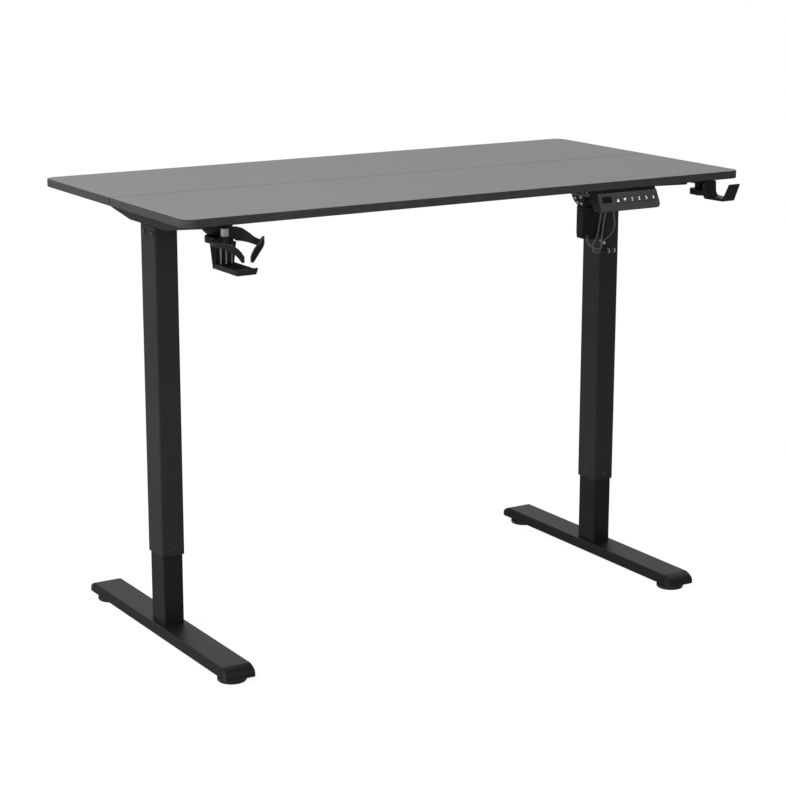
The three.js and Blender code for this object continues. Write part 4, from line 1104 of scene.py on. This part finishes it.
class DESK_OT_brackets(bpy.types.Operator):
    """Build the side brackets, head brackets and crossbeams with the screws into the desktop"""

    bl_idname = "desk.brackets"
    bl_label = "Brackets"
    bl_options = {"REGISTER", "UNDO"}

    RAIL_EDGE = 0.012                       # from a side rail's inner edge to its screws
    RAIL_SHEET = 0.0025                     # from the flange's top to its underside
    ALONG_RAIL = (0.06, 0.27, 0.73, 0.94)   # places of the screws as shares of a length
    ALONG_PLATE = (0.12, 0.5, 0.88)
    ACROSS_PLATE = (0.2, 0.8)

    def execute(self, context):
        sizes = context.scene.desk_sizes
        for side in SIDES:
            refined("side_bracket_" + side, "side_rail_" + side, "powder", sizes.sheet_round)
            refined("head_bracket_" + side, "column_head_" + side, "powder", sizes.sheet_round)
        for end in ENDS:
            refined("crossbeam_" + end, "cross_tube_" + end, "powder", sizes.sheet_round)
        self.wood_screws(sizes)
        return {"FINISHED"}

    def wood_screws(self, sizes):
        """Screws through the side rails' flanges and the seam plate."""
        form = Form()
        for side in SIDES:
            low, high = corners("side_bracket_" + side)
            x = high.x - self.RAIL_EDGE if side == "left" else low.x + self.RAIL_EDGE
            for share in self.ALONG_RAIL:
                spot = (x, low.y + (high.y - low.y) * share, high.z - self.RAIL_SHEET)
                form.screw(spot, (0, 0, -1), sizes.wood_screw)
        low, high = corners("seam_plate")
        for along in self.ALONG_PLATE:
            for across in self.ACROSS_PLATE:
                spot = (low.x + (high.x - low.x) * along, low.y + (high.y - low.y) * across, low.z)
                form.screw(spot, (0, 0, -1), sizes.wood_screw)
        form.finish("desktop_screws", "black_steel", "upper_frame", "gear_steel")


# ---------------------------------------------------------------- drive

class DESK_OT_drive(bpy.types.Operator):
    """Build the motor, its worm gearcase and the gearboxes, and finish the shafts and gears"""

    bl_idname = "desk.drive"
    bl_label = "Drive"
    bl_options = {"REGISTER", "UNDO"}

    CASE_SCREWS = ((-13.8, -75.7), (4.6, -79.2), (-4, -87.7), (-16.6, -88.5))   # y and z, for deck()
    ROOT = 0.0009       # depth of the lead screws' thread

    def execute(self, context):
        sizes = context.scene.desk_sizes
        # The worm gearcase takes the darker plastic, painted shade under the desktop.
        refined("motor_gearcase", "worm_case", "hook_plastic", sizes.mould_round)
        for side in SIDES:
            refined("gearbox_housing_" + side, "bevel_case_" + side, "plastic", sizes.mould_round * 0.7)
            finish_node("screw_gear_" + side, "steel")
            finish_node("shaft_gear_" + side, "steel")
            self.lead_screw(side, sizes)
            finish_node("lift_nut_" + side, "nylon")
        finish_node("hex_shaft", "zinc")
        finish_node("drive_hub", "steel")
        self.can()
        self.case_screws(sizes)
        return {"FINISHED"}

    def lead_screw(self, side, sizes):
        """A rod with the round ridges of its thread, and a smooth stub through the gears."""
        node = "lead_screw_" + side
        low, high = corners(node)
        centre = ((low.x + high.x) / 2, (low.y + high.y) / 2, 0)
        reach = (high.x - low.x) / 2
        root = reach - self.ROOT
        top = corners("screw_gear_" + side)[0].z - 0.004
        profile = [(0, low.z), (reach - 0.001, low.z), (reach - 0.0004, low.z + 0.0008)]
        level = low.z + 0.002
        half = sizes.screw_pitch / 2
        while level + 2 * half < top:
            profile += [(root, level), (root, level + half * 0.8), (reach, level + half),
                        (reach, level + half * 1.8)]
            level += 2 * half
        rod = [
            (math.hypot(vertex.co.x - centre[0], vertex.co.y - centre[1]), vertex.co.z)
            for vertex in frame["nodes"][node].data.vertices
        ]
        stub = max(radius for radius, z in rod if z > high.z - 0.001)
        shoulder = max(z for radius, z in rod if radius > reach * 0.95)
        profile += [(reach, shoulder), (stub, shoulder), (stub, high.z), (0, high.z)]
        form = Form()
        form.turned(profile, centre, 40)
        form.stand_for(node, "screw_rod_" + side, "zinc")

    def can(self):
        """Round motor can with two flats, a rolled seam and a bearing boss at its lower end."""
        low, high = corners("motor_can")
        cx, cy = (low.x + high.x) / 2, (low.y + high.y) / 2
        reach, half = (high.y - low.y) / 2, (high.x - low.x) / 2

        def outline(inset):
            flat = half - inset
            return [(max(-flat, min(flat, x)), y) for x, y in circle(reach - inset, 96)]

        lower, upper = low.z, high.z
        levels = (
            (0.006, lower), (0.0028, lower + 0.0004), (0.0012, lower + 0.0014),
            (0.0006, lower + 0.003), (0.0006, lower + 0.0075), (0, lower + 0.0082),
            (0, upper - 0.0068), (0.0007, upper - 0.0062), (0.0007, upper - 0.005),
            (0, upper - 0.0044), (0, upper - 0.0006), (0.0006, upper),
        )
        form = Form()
        form.skin([[Vector((cx + x, cy + y, z)) for x, y in outline(inset)] for inset, z in levels])
        # The can's darker coat is painted shade under the desktop.
        form.stand_for("motor_can", "motor_shell", "motor_coat")

    def case_screws(self, sizes):
        form = Form()
        for y, z in self.CASE_SCREWS:
            spot = deck(0, y, z)
            spot.x = corners("motor_gearcase")[0].x
            form.screw(spot, (-1, 0, 0), sizes.machine_screw * 0.7)
        form.finish("worm_case_screws", "bright", "upper_frame", "zinc_steel")


class DESK_OT_control_box(bpy.types.Operator):
    """Build the control box with its power inlet"""

    bl_idname = "desk.control_box"
    bl_label = "Control box"
    bl_options = {"REGISTER", "UNDO"}

    PIN_RADIUS = 0.0012
    PIN_SHIFT = 0.00375             # of each contact pin from the inlet's middle
    PIN_ENDS = (0.0015, 0.0095)     # along the inlet

    def execute(self, context):
        sizes = context.scene.desk_sizes
        refined("control_box", "control_case", "plastic", sizes.mould_round)
        refined("power_inlet", "mains_inlet", "gloss", sizes.mould_round * 0.5)
        low, high = corners("power_inlet")
        start, end = (low.x + reach for reach in self.PIN_ENDS)
        form = Form()
        for y in (-self.PIN_SHIFT, self.PIN_SHIFT):
            centre = (0, (low.y + high.y) / 2 + y, (low.z + high.z) / 2)
            form.prism(circle(self.PIN_RADIUS, 16), start, end, "X", centre)
        form.soften(0.0003, 2)
        form.finish("inlet_pins", "zinc", "upper_frame", "zinc_steel")
        return {"FINISHED"}


# ---------------------------------------------------------------- key panel

class DESK_OT_key_panel(bpy.types.Operator):
    """Build the key panel with its display, keys and printed marks"""

    bl_idname = "desk.key_panel"
    bl_label = "Key panel"
    bl_options = {"REGISTER", "UNDO"}

    KEYS = (
        ("key_up", "up"), ("key_down", "down"),
        ("key_1", "1"), ("key_2", "2"), ("key_3", "3"), ("key_4", "4"),
    )
    KEY_ROUND, WINDOW_ROUND = 0.0004, 0.0003
    SINK = 0.00012      # how far the marks reach into the keys
    THICK = 0.0002      # of the marks
    BOLD = 0.0002       # how much the digits' strokes are widened
    FRONT = 0.0002      # how far behind the foremost point a face still counts as the front

    def execute(self, context):
        sizes = context.scene.desk_sizes
        out, up = self.tilt()
        front = self.reach("panel_case", out)

        def part_of(face):
            """The front, lighter with a painted reflection, and the sides and back, darker with painted
            shade.
            """
            return 0 if out.dot(face.calc_center_median()) > front - self.FRONT else 1

        # The front takes the lighter plastic, a painted reflection; the sides and back take the darker
        # plastic, painted shade.
        finishes = ("panel_plastic", "hook_plastic")
        refined("panel_case", "key_panel_case", finishes, self.KEY_ROUND, pick=part_of)
        refined("display_window", "display_glass", "gloss", self.WINDOW_ROUND)
        for node, mark in self.KEYS:
            refined(node, node + "_cap", "panel_plastic", self.KEY_ROUND, 3)
            self.mark(node, mark, out, up, sizes)
        return {"FINISHED"}

    def reach(self, node, out):
        """How far a node reaches in a direction."""
        return max(out.dot(vertex.co) for vertex in frame["nodes"][node].data.vertices)

    def tilt(self):
        """Out from the keys' faces and up along them, from the way the first key is pressed."""
        out = -Vector(joint_record("key_up_press")["axis"]).normalized()
        return out, Vector((1, 0, 0)).cross(-out).normalized()

    def mark(self, node, mark, out, up, sizes):
        """A triangle or a digit on a key's face."""
        low, high = corners(node)
        centre = (low + high) / 2
        base = centre + out * (self.reach(node, out) - out.dot(centre) - self.SINK)
        turn = Matrix((up.cross(out), up, out)).transposed()
        form = Form()
        if mark in ("up", "down"):
            way = 1 if mark == "up" else -1
            half = sizes.digit_height * 0.6
            outline = [(-half, -half * 0.86 * way), (half, -half * 0.86 * way), (0, half * 0.86 * way)]
            form.skin([[base + turn @ Vector((u, v, w)) for u, v in outline] for w in (0, self.THICK)])
        else:
            text = bpy.data.curves.new("digit", "FONT")
            text.body = mark
            text.size = sizes.digit_height * 1.5
            text.extrude = self.THICK / 2
            text.align_x = "CENTER"
            text.align_y = "CENTER"
            text.offset = self.BOLD
            helper = bpy.data.objects.new("digit", text)
            data = helper.to_mesh()
            form.mesh.from_mesh(data)
            helper.to_mesh_clear()
            bpy.data.objects.remove(helper)
            form.mesh.transform(Matrix.Translation(base + out * self.THICK / 2) @ turn.to_4x4())
        form.finish(node + "_print", "printing", node, "black_plastic")


# ---------------------------------------------------------------- cup holder and hook

class DESK_OT_cup_holder(bpy.types.Operator):
    """Build the swivelling cup holder with its two sprung arms"""

    bl_idname = "desk.cup_holder"
    bl_label = "Cup holder"
    bl_options = {"REGISTER", "UNDO"}

    KNUCKLE = 0.0063        # radius of the upper arm's knuckle
    KNUCKLE_DROP = 0.0022   # from the arm's highest point to the spring's first turn
    WIRE = 0.00045          # radius of the spring's wire
    CLEAR = 0.0001          # between the knuckle and the spring
    TURNS, STEPS = 14, 24   # turns of the spring, and points in each
    RISE = 2.06             # from turn to turn, in radii of the wire

    # Where the ribs and the tray's floor lie, in the millimetres that deck() takes.
    RIB_LEVELS = (-66, -33)
    RIB_MIDDLE, RIB_REACH = -523.5, 15.5
    RIB_FRONT = -320
    TRAY_LEVEL = -81

    def execute(self, context):
        refined("cup_mount", "cup_bracket", "cup_plastic", 0.0007, 3)
        # The tray's ribs take a painted highlight, and its floor painted shade.
        finishes = ("cup_plastic", "rib_plastic", "hook_plastic")
        refined("cup_cradle", "cup_tray", finishes, 0.0006, 3, self.part_of)
        refined("cup_claw_left", "cup_arm_left", "cup_plastic", 0.001, 3)
        refined("cup_claw_right", "cup_arm_right", "cup_plastic", 0.001, 3)
        refined("cup_pivot_bolt", "cup_bolt", "zinc", 0.0004)
        self.spring()
        return {"FINISHED"}

    def part_of(self, face):
        """Rib faces turned to the left front take a painted highlight, and the tray's upward floor
        takes painted shade in its hollow.
        """
        spot = (face.calc_center_median() - DECK) / MM
        across = abs(spot.x - self.RIB_MIDDLE) < self.RIB_REACH and spot.y > self.RIB_FRONT
        if across and self.RIB_LEVELS[0] < spot.z < self.RIB_LEVELS[1]:
            # Rib faces turned to the left front, towards the key lamp, take the painted highlight.
            if -0.95 < face.normal.x < -0.1 and face.normal.y < -0.2:
                return 1
        # Upward faces low in the tray take the darker plastic, painted shade in its hollow.
        return 2 if spot.z < self.TRAY_LEVEL and face.normal.z > 0.7 else 0

    def spring(self):
        """Torsion spring wound round the upper arm's knuckle."""
        pin = Vector(joint_record("cup_claw_right_open")["pos_m"])
        reach = self.KNUCKLE + self.CLEAR + self.WIRE
        top = corners("cup_claw_right")[1].z - self.KNUCKLE_DROP
        line = []
        for i in range(self.TURNS * self.STEPS + 1):
            turn = 2 * math.pi * i / self.STEPS
            level = top - i / self.STEPS * self.WIRE * self.RISE
            line.append(Vector((pin.x + reach * math.cos(turn), pin.y + reach * math.sin(turn), level)))
        form = Form()
        form.path(line, [self.WIRE] * len(line), 8)
        form.finish("cup_arm_spring", "spring", "cup_claw_right", "zinc_steel")


class DESK_OT_hook(bpy.types.Operator):
    """Build the swivelling headset hook"""

    bl_idname = "desk.hook"
    bl_label = "Headset hook"
    bl_options = {"REGISTER", "UNDO"}

    PLATE_BACK = 0.006      # how far the back plate stands in front of the desktop's edge, at most
    PLATE_EDGE = 0.0016     # height of the plate's top edge, which is moved as a whole
    CLEAR = 0.0003          # left between the plate and the desktop

    def execute(self, context):
        sizes = context.scene.desk_sizes
        # Mount and hook take the darker plastic, painted shade under the desktop.
        refined("hook_mount", "hook_bracket", "hook_plastic", sizes.mould_round * 0.5)
        refined("hook", "hook_saddle", "hook_plastic", sizes.mould_round * 0.6, 3, change=self.raised)
        refined("hook_pivot_bolt", "hook_bolt", "zinc", 0.0004)
        return {"FINISHED"}

    def raised(self, mesh):
        """Brings the back plate's top edge close under the desktop."""
        plate = [vertex for vertex in mesh.verts if vertex.co.y > DECK_LOW.y - self.PLATE_BACK]
        top = max(vertex.co.z for vertex in plate)
        for vertex in plate:
            if vertex.co.z > top - self.PLATE_EDGE:
                vertex.co.z += max(0, DECK_LOW.z - self.CLEAR - top)


# ---------------------------------------------------------------- panel and registration

STEPS = (
    DESK_OT_stage,
    DESK_OT_leads,
    DESK_OT_desktop,
    DESK_OT_columns,
    DESK_OT_feet,
    DESK_OT_brackets,
    DESK_OT_drive,
    DESK_OT_control_box,
    DESK_OT_key_panel,
    DESK_OT_cup_holder,
    DESK_OT_hook,
)


class DESK_PT_parts(bpy.types.Panel):
    """The desk's parts, its sizes and its colours"""

    bl_label = "Standing desk"
    bl_idname = "DESK_PT_parts"
    bl_space_type = "VIEW_3D"
    bl_region_type = "UI"
    bl_category = "Desk"

    def draw(self, context):
        column = self.layout.column(align=True)
        for step in STEPS:
            column.operator(step.bl_idname)
        for group in (context.scene.desk_sizes, context.scene.desk_colours, context.scene.desk_studio):
            box = self.layout.box()
            for name in group.__annotations__:
                box.prop(group, name)


CLASSES = (DeskSizes, DeskColours, DeskStudio, *STEPS, DESK_PT_parts)


def register():
    for kind in CLASSES:
        bpy.utils.register_class(kind)
    bpy.types.Scene.desk_sizes = PointerProperty(type=DeskSizes)
    bpy.types.Scene.desk_colours = PointerProperty(type=DeskColours)
    bpy.types.Scene.desk_studio = PointerProperty(type=DeskStudio)


def unregister():
    for name in ("desk_sizes", "desk_colours", "desk_studio"):
        delattr(bpy.types.Scene, name)
    for kind in reversed(CLASSES):
        bpy.utils.unregister_class(kind)


def main():
    register()
    make_finishes(bpy.context.scene.desk_colours)
    for step in STEPS:
        getattr(bpy.ops.desk, step.bl_idname.split(".")[1])()
    bpy.context.view_layer.update()


if __name__ == "__main__":
    main()
